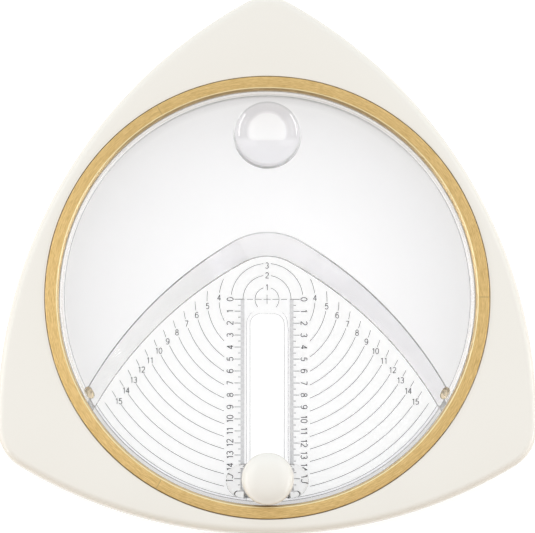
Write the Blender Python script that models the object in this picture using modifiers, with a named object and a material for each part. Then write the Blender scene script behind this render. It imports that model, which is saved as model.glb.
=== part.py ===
# Circle cutter for paper and card, in metres, +Z up, resting on the table at z = 0.
# A clear disc turns in a three-cornered frame. A saddle slides along a slot in the disc
# and carries a push knob with a blade, so the distance of the saddle from the disc's
# centre is the radius of the cut.
# The origin is under the middle of the frame. The disc's axis lies a little in front of
# it, and every size below is measured from that axis.

import math

import bmesh
import bpy

mm = 0.001

# Clearances
run_gap = 0.3 * mm           # between pieces that turn or slide on each other
seat_gap = 0.3 * mm          # between pieces that rest on each other
screw_gap = 0.2 * mm         # round a screw or a peg in its hole
overrun = 1.0 * mm           # how far a cutter runs past the face that it cuts

# Smoothness of round shapes
ring_steps = 72
round_steps = 32
small_steps = 16
tiny_steps = 8
chord_error = 0.05 * mm      # between an arc and its chords
weld_gap = 0.001 * mm        # closer points are one point
crease = math.radians(32.0)  # a sharper edge is shaded sharp

# Turntable disc
disc_radius = 86.2 * mm      # outside of its wall
disc_wall = 1.6 * mm
sheet = 2.0 * mm             # thickness of the plateau and the ramp
floor_sheet = 2.2 * mm       # thickness of the low sector
floor_clearance = 1.0 * mm   # from the table to the low sector
plateau_rise = 9.8 * mm      # from the low sector up to the plateau
rim_run = 2.0 * mm           # slope at the plateau's edge, inwards
rim_drop = 1.2 * mm          # slope at the plateau's edge, downwards
flange_reach = 4.5 * mm      # out from the wall
flange_sheet = 1.8 * mm
wall_stub = 0.6 * mm         # of the wall below the flange, under the plateau
sector_lip = 0.3 * mm        # of the wall above the flange, round the low sector

# The ramp between the low sector and the plateau: a round apex behind the centre and two
# bowed sides, at its foot and at its brow
foot_apex = 17.8 * mm        # apex's distance behind the disc's axis
foot_apex_radius = 20.0 * mm
foot_side_radius = 161.5 * mm
foot_turn = math.radians(28.9)
brow_apex = 26.5 * mm
brow_apex_radius = 27.4 * mm
brow_side_radius = 165.4 * mm
brow_turn = math.radians(30.5)
side_sweep = math.radians(44.0)
ramp_side_steps = 14
ramp_crown_steps = 10

# Finger dimple
dimple_radius = 13.5 * mm
dimple_depth = 5.6 * mm
dimple_back = 68.0 * mm      # behind the disc's axis
dimple_steps = 5

# Slot, its rails and the click teeth
slot_half = 7.0 * mm         # half the clear width
slot_start = 6.1 * mm        # in front of the disc's axis
slot_corner = 4.5 * mm
rail_sheet = 1.7 * mm
rail_rise = 2.8 * mm         # above the low sector
tooth_pitch = 0.5 * mm       # one millimetre of diameter
tooth_depth = 0.3 * mm
teeth_from = 12.0 * mm       # in front of the disc's axis
rebate_half = 10.0 * mm
rebate_depth = 1.1 * mm

# Frame
ring_width = 5.6 * mm        # of the gold ring, seen from above
side_band = 5.6 * mm         # frame outside the ring's step, where it is narrowest
side_radius = 200.5 * mm     # of the three bowed sides
corner_radius = 18.65 * mm
edge_radius = 3.0 * mm       # of the top's outer edge
edge_steps = 3
shell_sheet = 2.2 * mm
cup_sheet = 2.0 * mm         # of the cup wall and the ring's seat
rib_sheet = 1.2 * mm
rib_drop = 6.8 * mm          # of a rib below the top plate
ribs_per_corner = 5
rib_spread = math.radians(39.0)
boss_radius = 3.2 * mm
side_boss_turn = math.radians(26.0)
corner_boss_out = 4.0 * mm   # outside the centre of the corner's arc

# Gold ring
ring_height = 2.7 * mm
ring_proud = 0.4 * mm        # above the frame's top
ring_chamfer_run = 1.1 * mm
ring_chamfer_drop = 1.4 * mm
ring_leg = 1.3 * mm
ring_sheet = 1.4 * mm
peg_radius = 1.0 * mm
peg_count = 6

# Base plate, its bearing rib and the rubber pads
pad_proud = 0.8 * mm         # the base stands this high off the table
base_sheet = 2.0 * mm
bearing_rise = 4.2 * mm
bearing_sheet = 1.6 * mm
pad_width = 5.5 * mm
pad_sink = 0.6 * mm
pad_sweep = math.radians(17.0)
base_boss_rise = 2.0 * mm
base_boss_radius = 3.8 * mm

# Base screws
head_radius = 2.2 * mm
head_height = 1.4 * mm
shank_radius = 1.1 * mm
screw_length = 8.0 * mm
drive_radius = 1.0 * mm
drive_depth = 0.7 * mm

# Saddle
cut_radius = 76.0 * mm       # knob's distance in front of the disc's axis, at rest
saddle_half = 17.2 * mm      # along x
saddle_round = 7.2 * mm
saddle_sheet = 2.5 * mm      # above the rails
saddle_edge = 1.2 * mm
saddle_edge_steps = 2
tower_radius = 7.2 * mm
tower_rise = 6.7 * mm
spring_floor = 1.5 * mm

# Shoe under the slot
block_half = 6.7 * mm        # half its length along the slot
shoe_sheet = 0.9 * mm
small_head_radius = 1.3 * mm
small_head_height = 1.1 * mm
small_shank_radius = 0.75 * mm
small_screw_length = 9.0 * mm
small_screw_out = 5.6 * mm   # from the plunger's axis
small_seat_depth = 1.5 * mm

# Click spring
leaf_sheet = 0.3 * mm
leaf_width = 2.0 * mm
leaf_half = 4.8 * mm
leaf_bow = 1.7 * mm
nose_half = 0.7 * mm
pocket_depth = 2.4 * mm

# Plunger, blade and return spring
press_travel = 3.0 * mm
collar_radius = 3.0 * mm
collar_height = 2.1 * mm
collar_flat = 2.6 * mm
plunger_radius = 2.4 * mm
spigot_radius = 1.8 * mm
spigot_length = 4.1 * mm
blade_sheet = 0.4 * mm
blade_half = 1.6 * mm
blade_length = 8.1 * mm
blade_point = 2.0 * mm       # height of the point
blade_tip_share = 0.2        # of the blade's thickness, left at its tip
tip_height = 2.6 * mm        # above the table at rest
set_screw_radius = 0.7 * mm
spring_radius = 3.5 * mm     # to the middle of the wire
wire_radius = 0.3 * mm
spring_turns = 7
spring_points = 9            # in each turn

# Knob
knob_radius = 10.8 * mm
knob_mouth_radius = 9.0 * mm
knob_lip = 1.2 * mm
knob_skirt = 7.0 * mm        # from its mouth up to its widest circle
knob_crown = 6.5 * mm        # from there to its top
knob_squareness = 2.5        # 2 is an ellipse, more is squarer
skirt_bow = 1.3              # 1 is a straight skirt, more is rounder
knob_wall_gap = 0.4 * mm
crown_steps = 9
skirt_steps = 3

# Heights, from the table up
floor_top = floor_clearance + floor_sheet
plateau_top = floor_top + plateau_rise
base_top = pad_proud + base_sheet
bearing_top = base_top + bearing_rise
flange_low = bearing_top + run_gap
flange_top = flange_low + flange_sheet
seat_low = flange_top + run_gap
seat_top = seat_low + cup_sheet
ring_low = seat_top + seat_gap
ring_top = ring_low + ring_height
frame_top = ring_top - ring_proud
plate_low = frame_top - shell_sheet
rail_top = floor_top + rail_rise
rebate_top = floor_clearance + rebate_depth
saddle_low = floor_top + run_gap
saddle_roof = rail_top + run_gap
saddle_top = saddle_roof + saddle_sheet
tower_top = saddle_top + tower_rise
pocket_floor = saddle_roof + spring_floor
shoe_top = saddle_roof - seat_gap
shoe_flange_top = rebate_top - run_gap
shoe_low = shoe_flange_top - shoe_sheet
spring_top = tower_top + press_travel + run_gap
knob_roof = spring_top + seat_gap
knob_mouth = saddle_top + press_travel + knob_lip
collar_low = shoe_top - collar_height

# Distances from the disc's axis
flange_radius = disc_radius + flange_reach
cup_radius = flange_radius + run_gap
ring_inner = disc_radius + run_gap
ring_outer = ring_inner + ring_width
step_radius = ring_outer + seat_gap
seat_radius = ring_inner + seat_gap
base_opening = disc_radius + run_gap
bearing_radius = (base_opening + flange_radius) / 2
peg_circle = (seat_radius + cup_radius) / 2
side_reach = step_radius + side_band
rail_half = slot_half + rail_sheet
rail_start = slot_start - rail_sheet
slot_end = cut_radius + block_half + run_gap

# The frame's outline is three bowed sides joined by round corners. The centre of a side's
# arc lies beyond the axis, and the corner's arc touches two sides.
side_centre = side_radius - side_reach
reach_between = side_radius - corner_radius
corner_centre = math.sqrt(reach_between ** 2 - 0.75 * side_centre ** 2) - side_centre / 2
corner_reach = corner_centre + corner_radius
side_turn = math.asin(corner_centre * math.sin(math.pi / 3) / reach_between)
axis_y = (side_reach - corner_reach) / 2
corner_angles = [math.radians(90 + 120 * k) for k in range(3)]

cream = (0.87, 0.84, 0.77)
gold = (0.72, 0.47, 0.19)
clear = (0.93, 0.93, 0.94)
steel = (0.60, 0.60, 0.62)
black = (0.03, 0.03, 0.03)
white = (0.85, 0.85, 0.84)


def clear_scene():
    for old in list(bpy.data.objects):
        bpy.data.objects.remove(old, do_unlink=True)
    for old in list(bpy.data.collections):
        bpy.data.collections.remove(old)


clear_scene()
parts = bpy.data.collections.new("circle_cutter")
cutters = bpy.data.collections.new("cutters")
bpy.context.scene.collection.children.link(parts)
bpy.context.scene.collection.children.link(cutters)


# Placing, materials and joining

def empty(name, place, parent=None):
    spot = bpy.data.objects.new(name, None)
    spot.location = place
    spot.parent = parent
    spot.empty_display_size = corner_radius
    parts.objects.link(spot)
    return spot


def plastic(name, colour, roughness, metallic=0.0, transmission=0.0):
    made = bpy.data.materials.new(name)
    made.use_nodes = True
    shader = made.node_tree.nodes["Principled BSDF"]
    shader.inputs["Base Color"].default_value = (*colour, 1.0)
    shader.inputs["Roughness"].default_value = roughness
    shader.inputs["Metallic"].default_value = metallic
    shader.inputs["Transmission Weight"].default_value = transmission
    return made


def add_object(name, mesh, parent, material=None, place=(0.0, 0.0, 0.0)):
    made = bpy.data.objects.new(name, mesh)
    made.parent = parent
    made.location = place
    if material:
        mesh.materials.append(material)
        parts.objects.link(made)
    else:
        cutters.objects.link(made)
        made.hide_render = True
        made.display_type = "WIRE"
    return made


def combine(target, other, operation):
    step = target.modifiers.new(f"{operation.lower()} {other.name}", "BOOLEAN")
    step.operation = operation
    step.solver = "EXACT"
    if isinstance(other, bpy.types.Collection):
        step.operand_type = "COLLECTION"
        step.collection = other
    else:
        step.object = other


def group_of(name, objects):
    group = bpy.data.collections.new(name)
    cutters.children.link(group)
    for member in objects:
        group.objects.link(member)
        cutters.objects.unlink(member)
    return group


def smooth(mesh):
    mesh.shade_smooth()
    mesh.set_sharp_from_angle(angle=crease)


def evaluated_mesh(source):
    graph = bpy.context.evaluated_depsgraph_get()
    return bpy.data.meshes.new_from_object(source.evaluated_get(graph))


# Solids from outlines and profiles

def area_of(points):
    total = 0.0
    for (x0, y0), (x1, y1) in zip(points, points[1:] + points[:1]):
        total += x0 * y1 - x1 * y0
    return total / 2


def turned_mesh(name, profile, steps):
    """A profile of (radius, height) points, turned about +Z."""
    points = profile if area_of(profile) < 0 else profile[::-1]
    edges = [(i, i + 1) for i in range(len(points) - 1)]
    if points[0][0] > 0 or points[-1][0] > 0:
        edges.append((len(points) - 1, 0))
    mesh = bpy.data.meshes.new(name)
    mesh.from_pydata([(r, 0.0, z) for r, z in points], edges, [])
    source = bpy.data.objects.new(name, mesh)
    cutters.objects.link(source)
    screw = source.modifiers.new("turn", "SCREW")
    screw.axis = "Z"
    screw.angle = 2 * math.pi
    screw.steps = steps
    screw.render_steps = steps
    screw.use_merge_vertices = True
    screw.merge_threshold = weld_gap
    made = evaluated_mesh(source)
    bpy.data.objects.remove(source)
    smooth(made)
    return made


def slab_mesh(name, outline, low, high):
    """A flat outline of (x, y) points, as thick as from low to high."""
    curve = bpy.data.curves.new(name, "CURVE")
    curve.dimensions = "2D"
    curve.fill_mode = "BOTH"
    curve.extrude = (high - low) / 2
    spline = curve.splines.new("POLY")
    spline.points.add(len(outline) - 1)
    for point, (x, y) in zip(spline.points, outline):
        point.co = (x, y, 0.0, 1.0)
    spline.use_cyclic_u = True
    source = bpy.data.objects.new(name, curve)
    cutters.objects.link(source)
    made = evaluated_mesh(source)
    bpy.data.objects.remove(source)
    shape = bmesh.new()
    shape.from_mesh(made)
    bmesh.ops.remove_doubles(shape, verts=shape.verts, dist=weld_gap)
    flat = [e for e in shape.edges if all(abs(f.normal.z) > 0.9 for f in e.link_faces)]
    bmesh.ops.dissolve_edges(shape, edges=flat)
    bmesh.ops.translate(shape, verts=shape.verts, vec=(0.0, 0.0, (low + high) / 2))
    bmesh.ops.recalc_face_normals(shape, faces=shape.faces)
    shape.to_mesh(made)
    shape.free()
    smooth(made)
    return made


def loft_mesh(name, rings):
    """Closed rings of (x, y, z) points, all of one length, joined from the lowest up."""
    count = len(rings[0])
    faces = [list(range(count))[::-1]]
    for k in range(len(rings) - 1):
        low, high = k * count, (k + 1) * count
        for i in range(count):
            j = (i + 1) % count
            faces.append((low + i, low + j, high + j, high + i))
    faces.append([(len(rings) - 1) * count + i for i in range(count)])
    mesh = bpy.data.meshes.new(name)
    mesh.from_pydata([point for ring in rings for point in ring], [], faces)
    smooth(mesh)
    return mesh


def rod_mesh(name, radius, low, high, steps=small_steps):
    shape = bmesh.new()
    bmesh.ops.create_cone(
        shape, cap_ends=True, segments=steps, radius1=radius, radius2=radius, depth=high - low)
    bmesh.ops.translate(shape, verts=shape.verts, vec=(0.0, 0.0, (low + high) / 2))
    mesh = bpy.data.meshes.new(name)
    shape.to_mesh(mesh)
    shape.free()
    smooth(mesh)
    return mesh


def box_mesh(name, low, high):
    shape = bmesh.new()
    bmesh.ops.create_cube(shape, size=1.0)
    size = [b - a for a, b in zip(low, high)]
    bmesh.ops.scale(shape, verts=shape.verts, vec=size)
    bmesh.ops.translate(
        shape, verts=shape.verts, vec=[(a + b) / 2 for a, b in zip(low, high)])
    mesh = bpy.data.meshes.new(name)
    shape.to_mesh(mesh)
    shape.free()
    return mesh


# Outlines

def arc(centre, radius, start, end, count=0):
    """Points on an arc from one angle to another, both ends included."""
    step = 2 * math.acos(1 - chord_error / radius)
    count = count or max(2, math.ceil(abs(end - start) / step))
    angles = [start + (end - start) * i / count for i in range(count + 1)]
    return [(centre[0] + radius * math.cos(a), centre[1] + radius * math.sin(a)) for a in angles]


def polar(radius, angle):
    return (radius * math.cos(angle), radius * math.sin(angle))


def frame_outline(grow=0.0):
    points = []
    for corner in corner_angles:
        tip = polar(corner_centre, corner)
        half = math.pi / 3 - side_turn
        points += arc(tip, corner_radius + grow, corner - half, corner + half)
        middle = corner + math.pi / 3
        centre = polar(-side_centre, middle)
        side = arc(centre, side_radius + grow, middle - side_turn, middle + side_turn)
        points += side[1:-1]
    return points


def frame_reach(angle):
    """The outline's distance from the axis in the direction of an angle."""
    away = min(abs((angle - c + math.pi) % (2 * math.pi) - math.pi) for c in corner_angles)
    shift = side_centre * math.cos(math.pi / 3 - away)
    side = math.sqrt(side_radius ** 2 - side_centre ** 2 + shift ** 2) - shift
    across = corner_centre * math.sin(away)
    if across > corner_radius:
        return side
    corner = corner_centre * math.cos(away) + math.sqrt(corner_radius ** 2 - across ** 2)
    return min(side, corner)


def rounded_box(half_x, low_y, high_y, corner):
    points = arc((half_x - corner, high_y - corner), corner, 0.0, math.pi / 2)
    points += arc((corner - half_x, high_y - corner), corner, math.pi / 2, math.pi)
    points += arc((corner - half_x, low_y + corner), corner, math.pi, 1.5 * math.pi)
    points += arc((half_x - corner, low_y + corner), corner, 1.5 * math.pi, 2 * math.pi)
    return points


def strip_outline(radius, width, middle, sweep):
    """A strip along an arc about the axis, with round ends."""
    half = width / 2
    outer = arc((0.0, 0.0), radius + half, middle - sweep, middle + sweep)
    inner = arc((0.0, 0.0), radius - half, middle + sweep, middle - sweep)
    far_end = middle + sweep
    near_end = middle - sweep
    far = arc(polar(radius, far_end), half, far_end, far_end + math.pi)
    near = arc(polar(radius, near_end), half, near_end + math.pi, near_end + 2 * math.pi)
    return outer + far[1:-1] + inner + near[1:-1]


def ramp_outline(apex, apex_radius, bow, turn, grow):
    """One edge of the ramp, closed far in front of the disc, right side first."""
    tip = (0.0, apex - apex_radius)
    start = math.pi / 2 - turn
    bend = (tip[0] - (bow - apex_radius) * math.cos(start),
            tip[1] - (bow - apex_radius) * math.sin(start))
    side = arc(bend, bow + grow, start - side_sweep, start, ramp_side_steps)
    crown = arc(tip, apex_radius + grow, start, math.pi - start, ramp_crown_steps)
    left = [(-x, y) for x, y in side[::-1]]
    front = -2 * disc_radius
    return [(side[0][0], front)] + side + crown[1:-1] + left + [(-side[0][0], front)]


# Base of the frame: the fixed body

def build_frame_shell(axis, colour):
    outer = slab_mesh("frame_shell", frame_outline(), pad_proud, frame_top)
    weights = outer.attributes.new("bevel_weight_edge", "FLOAT", "EDGE")
    for edge in outer.edges:
        on_top = all(outer.vertices[v].co.z > plate_low for v in edge.vertices)
        weights.data[edge.index].value = float(on_top)
    shell = add_object("frame_shell", outer, axis, colour)
    bevel = shell.modifiers.new("rounded top edge", "BEVEL")
    bevel.limit_method = "WEIGHT"
    bevel.width = edge_radius
    bevel.segments = edge_steps

    hollow = slab_mesh("shell_hollow", frame_outline(-shell_sheet), 0.0, plate_low)
    combine(shell, add_object("shell_hollow", hollow, axis), "DIFFERENCE")

    bite = shell_sheet / 2
    cup_outer = step_radius + cup_sheet
    cup_low = base_top + seat_gap
    profile = [
        (cup_outer, plate_low + bite),
        (cup_outer, seat_low),
        (cup_radius + cup_sheet, seat_low - cup_outer + cup_radius + cup_sheet),
        (cup_radius + cup_sheet, cup_low),
        (cup_radius, cup_low),
        (cup_radius, seat_low),
        (seat_radius - overrun, seat_low),
        (seat_radius - overrun, plate_low + bite),
    ]
    added = [add_object("shell_cup", turned_mesh("shell_cup", profile, ring_steps), axis)]
    for corner in corner_angles:
        for k in range(ribs_per_corner):
            angle = corner + rib_spread * (2 * k / (ribs_per_corner - 1) - 1)
            low = (cup_radius + cup_sheet / 2, -rib_sheet / 2, plate_low - rib_drop)
            high = (frame_reach(angle) - shell_sheet / 2, rib_sheet / 2, plate_low + bite)
            rib = add_object("shell_rib", box_mesh("shell_rib", low, high), axis)
            rib.rotation_euler.z = angle
            added.append(rib)
    boss_low = base_top + base_boss_rise + seat_gap
    for x, y in screw_places():
        boss = rod_mesh("shell_boss", boss_radius, boss_low, plate_low + bite)
        added.append(add_object("shell_boss", boss, axis, place=(x, y, 0.0)))
    combine(shell, group_of("shell_additions", added), "UNION")

    opening = [
        (0.0, frame_top + overrun),
        (step_radius, frame_top + overrun),
        (step_radius, seat_top),
        (seat_radius, seat_top),
        (seat_radius, 0.0),
        (0.0, 0.0),
    ]
    cuts = [add_object("shell_opening", turned_mesh("shell_opening", opening, ring_steps), axis)]
    pilot_top = screw_seat() + screw_length + screw_gap
    for x, y in screw_places():
        pilot = rod_mesh("shell_pilot", shank_radius + screw_gap, 0.0, pilot_top, tiny_steps)
        cuts.append(add_object("shell_pilot", pilot, axis, place=(x, y, 0.0)))
    for angle in peg_angles():
        x, y = polar(peg_circle, angle)
        hole = rod_mesh(
            "peg_hole", peg_radius + screw_gap, seat_low - overrun, frame_top, tiny_steps)
        cuts.append(add_object("peg_hole", hole, axis, place=(x, y, 0.0)))
    combine(shell, group_of("shell_cuts", cuts), "DIFFERENCE")


def screw_places():
    """One screw at the tip of each corner and one to each side of it."""
    places = []
    for corner in corner_angles:
        places.append(polar(corner_centre + corner_boss_out, corner))
        for angle in (corner - side_boss_turn, corner + side_boss_turn):
            middle = (step_radius + cup_sheet + frame_reach(angle) - shell_sheet) / 2
            places.append(polar(middle, angle))
    return places


def screw_seat():
    """Height of the face that a base screw's head is pulled against."""
    return pad_proud + head_height + seat_gap + screw_gap


def peg_angles():
    return [2 * math.pi * (k + 0.5) / peg_count for k in range(peg_count)]


def pad_radius():
    return base_boss_radius + step_radius + cup_sheet


def build_frame_base(axis, colour):
    grow = -shell_sheet - seat_gap
    plate = slab_mesh("frame_base", frame_outline(grow), pad_proud, base_top)
    base = add_object("frame_base", plate, axis, colour)
    middle = pad_proud + base_sheet / 2
    rib = [
        (bearing_radius + bearing_sheet / 2, bearing_top),
        (bearing_radius + bearing_sheet / 2, middle),
        (bearing_radius - bearing_sheet / 2, middle),
        (bearing_radius - bearing_sheet / 2, bearing_top),
    ]
    added = [add_object("bearing_rib", turned_mesh("bearing_rib", rib, ring_steps), axis)]
    for x, y in screw_places():
        boss = rod_mesh("base_boss", base_boss_radius, middle, base_top + base_boss_rise)
        added.append(add_object("base_boss", boss, axis, place=(x, y, 0.0)))
    combine(base, group_of("base_additions", added), "UNION")

    hole = rod_mesh("base_opening", base_opening, 0.0, bearing_top, ring_steps)
    cuts = [add_object("base_opening", hole, axis)]
    for x, y in screw_places():
        seat = rod_mesh("head_hole", head_radius + seat_gap, 0.0, screw_seat())
        cuts.append(add_object("head_hole", seat, axis, place=(x, y, 0.0)))
        shank = rod_mesh(
            "shank_hole", shank_radius + seat_gap, 0.0, bearing_top, tiny_steps)
        cuts.append(add_object("shank_hole", shank, axis, place=(x, y, 0.0)))
    for corner in corner_angles:
        outline = strip_outline(pad_radius(), pad_width + 2 * seat_gap, corner, pad_sweep)
        pocket = slab_mesh("pad_pocket", outline, 0.0, pad_proud + pad_sink + seat_gap)
        cuts.append(add_object("pad_pocket", pocket, axis))
    combine(base, group_of("base_cuts", cuts), "DIFFERENCE")


def build_rubber_pads(axis, colour):
    for k, corner in enumerate(corner_angles):
        outline = strip_outline(pad_radius(), pad_width, corner, pad_sweep)
        pad = slab_mesh("rubber_pad", outline, 0.0, pad_proud + pad_sink)
        add_object(f"rubber_pad_{k + 1}", pad, axis, colour)


def screw_mesh(name, radius, height, shank, length, head_low):
    """A pan head with a cross drive below, and a shank that rises from it."""
    seat = head_low + height
    profile = [
        (0.0, seat + length),
        (shank / 2, seat + length),
        (shank, seat + length - shank),
        (shank, seat),
        (radius, seat),
        (radius - height / 4, head_low),
        (0.0, head_low),
    ]
    return turned_mesh(name, profile, tiny_steps)


def cross_cut(screw, place, parent, head_low):
    half = drive_radius / 4
    for name, x, y in (("drive_x", drive_radius, half), ("drive_y", half, drive_radius)):
        low = (-x, -y, head_low - overrun)
        high = (x, y, head_low + drive_depth)
        bar = add_object(name, box_mesh(name, low, high), parent, place=place)
        combine(screw, bar, "DIFFERENCE")


def build_base_screws(axis, colour):
    head_low = pad_proud + screw_gap
    mesh = screw_mesh("base_screw", head_radius, head_height, shank_radius, screw_length, head_low)
    for k, (x, y) in enumerate(screw_places()):
        screw = add_object(f"base_screw_{k + 1}", mesh.copy(), axis, colour, (x, y, 0.0))
        cross_cut(screw, (x, y, 0.0), axis, head_low)


def build_gold_ring(axis, colour):
    roof = ring_top - ring_sheet
    profile = [
        (ring_inner + ring_chamfer_run, ring_top),
        (ring_outer, ring_top),
        (ring_outer, ring_low),
        (ring_outer - ring_leg, ring_low),
        (ring_outer - ring_leg, roof),
        (ring_inner + ring_leg, roof),
        (ring_inner + ring_leg, ring_low),
        (ring_inner, ring_low),
        (ring_inner, ring_top - ring_chamfer_drop),
    ]
    ring = add_object("gold_ring", turned_mesh("gold_ring", profile, ring_steps), axis, colour)
    pegs = []
    for angle in peg_angles():
        x, y = polar(peg_circle, angle)
        peg = rod_mesh(
            "ring_peg", peg_radius, seat_low + seat_gap, roof + ring_sheet / 2, tiny_steps)
        pegs.append(add_object("ring_peg", peg, axis, place=(x, y, 0.0)))
    combine(ring, group_of("ring_pegs", pegs), "UNION")


# Turntable: the clear disc

def rail_outline():
    """Outside of the rails, with click teeth along the right one."""
    front = -disc_radius + disc_wall / 2
    corner = slot_corner + rail_sheet
    top = -rail_start
    points = arc((rail_half - corner, top - corner), corner, 0.0, math.pi / 2)
    points += arc((corner - rail_half, top - corner), corner, math.pi / 2, math.pi)
    points += [(-rail_half, front), (rail_half, front)]
    count = int((slot_end - teeth_from) / tooth_pitch)
    for k in range(count, 0, -1):
        root = -teeth_from - k * tooth_pitch
        points.append((rail_half, root))
        points.append((rail_half + tooth_depth, root + tooth_pitch / 2))
    points.append((rail_half, -teeth_from))
    return points


def foot_ring(grow, height):
    outline = ramp_outline(foot_apex, foot_apex_radius, foot_side_radius, foot_turn, grow)
    return [(x, y, height) for x, y in outline]


def brow_ring(grow, height):
    outline = ramp_outline(brow_apex, brow_apex_radius, brow_side_radius, brow_turn, grow)
    return [(x, y, height) for x, y in outline]


def build_disc(axis, colour):
    profile = [
        (0.0, plateau_top),
        (disc_radius - rim_run, plateau_top),
        (disc_radius, plateau_top - rim_drop),
        (disc_radius, flange_top),
        (flange_radius, flange_top),
        (flange_radius, flange_low),
        (disc_radius, flange_low),
        (disc_radius, floor_clearance),
        (0.0, floor_clearance),
    ]
    disc = add_object(
        "turntable_disc", turned_mesh("turntable_disc", profile, ring_steps), axis, colour)
    inside = disc_radius - disc_wall

    # The space above the low sector, with the ramp carried on past the plateau's top.
    # Round the sector the wall ends a lip above the flange.
    run = brow_apex - foot_apex
    lift = overrun * run / plateau_rise
    rings = [foot_ring(0.0, floor_top), brow_ring(lift, plateau_top + overrun)]
    space = add_object("sector_space", loft_mesh("sector_space", rings), axis)
    lip = flange_top + sector_lip
    reach = [
        (0.0, plateau_top + 2 * overrun),
        (disc_radius + overrun, plateau_top + 2 * overrun),
        (disc_radius + overrun, lip),
        (inside, lip),
        (inside, 0.0),
        (0.0, 0.0),
    ]
    inner = add_object("sector_round", turned_mesh("sector_round", reach, ring_steps), axis)
    combine(space, inner, "INTERSECT")
    combine(disc, space, "DIFFERENCE")

    # The hollow under the plateau leaves out the block of the sector, a sheet larger
    # than its space, and below the flange it takes the wall away too
    shift = sheet * math.hypot(run, plateau_rise) / plateau_rise
    low_grow = shift - floor_sheet * run / plateau_rise
    high_grow = shift - (sheet - overrun) * run / plateau_rise
    rings = [
        foot_ring(low_grow, -overrun),
        foot_ring(low_grow, floor_clearance),
        brow_ring(high_grow, plateau_top - sheet + overrun),
    ]
    block = add_object("sector_block", loft_mesh("sector_block", rings), axis)
    hollow = [
        (0.0, plateau_top - sheet),
        (inside, plateau_top - sheet),
        (inside, flange_low - wall_stub),
        (flange_radius, flange_low - wall_stub),
        (flange_radius, 0.0),
        (0.0, 0.0),
    ]
    under = add_object("disc_hollow", turned_mesh("disc_hollow", hollow, ring_steps), axis)
    combine(under, block, "DIFFERENCE")
    combine(disc, under, "DIFFERENCE")

    # Finger dimple: a ball's cap pressed into the plateau
    ball = (dimple_radius ** 2 + dimple_depth ** 2) / (2 * dimple_depth)
    centre = plateau_top - dimple_depth + ball
    middle = plateau_top - sheet / 2
    place = (0.0, dimple_back, 0.0)
    cup_turn = math.acos((centre - middle) / (ball + sheet))
    cup = [(0.0, middle)]
    cup += [
        ((ball + sheet) * math.sin(a), centre - (ball + sheet) * math.cos(a))
        for a in [cup_turn * (1 - k / dimple_steps) for k in range(dimple_steps + 1)]]
    cup[-1] = (0.0, cup[-1][1])
    cup_mesh = turned_mesh("dimple_cup", cup, round_steps)
    combine(disc, add_object("dimple_cup", cup_mesh, axis, place=place), "UNION")
    rim_turn = math.asin(dimple_radius / ball)
    bowl = [(0.0, plateau_top + overrun), (dimple_radius + overrun, plateau_top + overrun)]
    bowl += [
        (ball * math.sin(a), centre - ball * math.cos(a))
        for a in [rim_turn * (1 - k / dimple_steps) for k in range(dimple_steps + 1)]]
    bowl[-1] = (0.0, bowl[-1][1])
    bowl_mesh = turned_mesh("dimple_bowl", bowl, round_steps)
    combine(disc, add_object("dimple_bowl", bowl_mesh, axis, place=place), "DIFFERENCE")

    # Rails, slot and the rebate for the shoe
    rails = slab_mesh("rails", rail_outline(), floor_top - floor_sheet / 3, rail_top)
    combine(disc, add_object("rails", rails, axis), "UNION")
    slot = slab_mesh(
        "slot", rounded_box(slot_half, -slot_end, -slot_start, slot_corner), 0.0,
        rail_top + overrun)
    combine(disc, add_object("slot", slot, axis), "DIFFERENCE")
    low = (-rebate_half, -slot_end - run_gap, 0.0)
    high = (rebate_half, -slot_start + run_gap, rebate_top)
    combine(disc, add_object("rebate", box_mesh("rebate", low, high), axis), "DIFFERENCE")


# Carriage: the saddle, the shoe and what they hold

def small_screw_places():
    half = small_screw_out * math.sqrt(0.5)
    return [(half, half), (-half, -half)]


def build_saddle(carriage, colour):
    outline = rounded_box(saddle_half, -saddle_round, saddle_round, saddle_round)
    body = slab_mesh("saddle", outline, saddle_low, saddle_top)
    weights = body.attributes.new("bevel_weight_edge", "FLOAT", "EDGE")
    for edge in body.edges:
        on_top = all(body.vertices[v].co.z > saddle_roof for v in edge.vertices)
        weights.data[edge.index].value = float(on_top)
    saddle = add_object("saddle", body, carriage, colour)
    bevel = saddle.modifiers.new("rounded top edge", "BEVEL")
    bevel.limit_method = "WEIGHT"
    bevel.width = saddle_edge
    bevel.segments = saddle_edge_steps

    tower = rod_mesh(
        "tower", tower_radius, saddle_top - spring_floor / 2, tower_top, round_steps)
    combine(saddle, add_object("tower", tower, carriage), "UNION")

    half = rail_half + tooth_depth + run_gap
    cuts = []
    channel = box_mesh(
        "channel", (-half, -2 * saddle_round, 0.0), (half, 2 * saddle_round, saddle_roof))
    cuts.append(add_object("channel", channel, carriage))
    pocket = box_mesh(
        "leaf_pocket", (half - overrun, -leaf_half - seat_gap, 0.0),
        (half + pocket_depth, leaf_half + seat_gap, saddle_low + leaf_width + seat_gap))
    cuts.append(add_object("leaf_pocket", pocket, carriage))
    bore = rod_mesh(
        "spring_pocket", spring_radius + wire_radius + seat_gap, pocket_floor, tower_top + overrun)
    cuts.append(add_object("spring_pocket", bore, carriage))
    hole = rod_mesh("plunger_hole", plunger_radius + run_gap, 0.0, tower_top)
    cuts.append(add_object("plunger_hole", hole, carriage))
    for x, y in small_screw_places():
        top = small_screw_seat() + small_screw_length + screw_gap
        pilot = rod_mesh("small_pilot", small_shank_radius + screw_gap, 0.0, top, tiny_steps)
        cuts.append(add_object("small_pilot", pilot, carriage, place=(x, y, 0.0)))
    combine(saddle, group_of("saddle_cuts", cuts), "DIFFERENCE")


def small_screw_seat():
    return shoe_low + small_seat_depth


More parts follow.
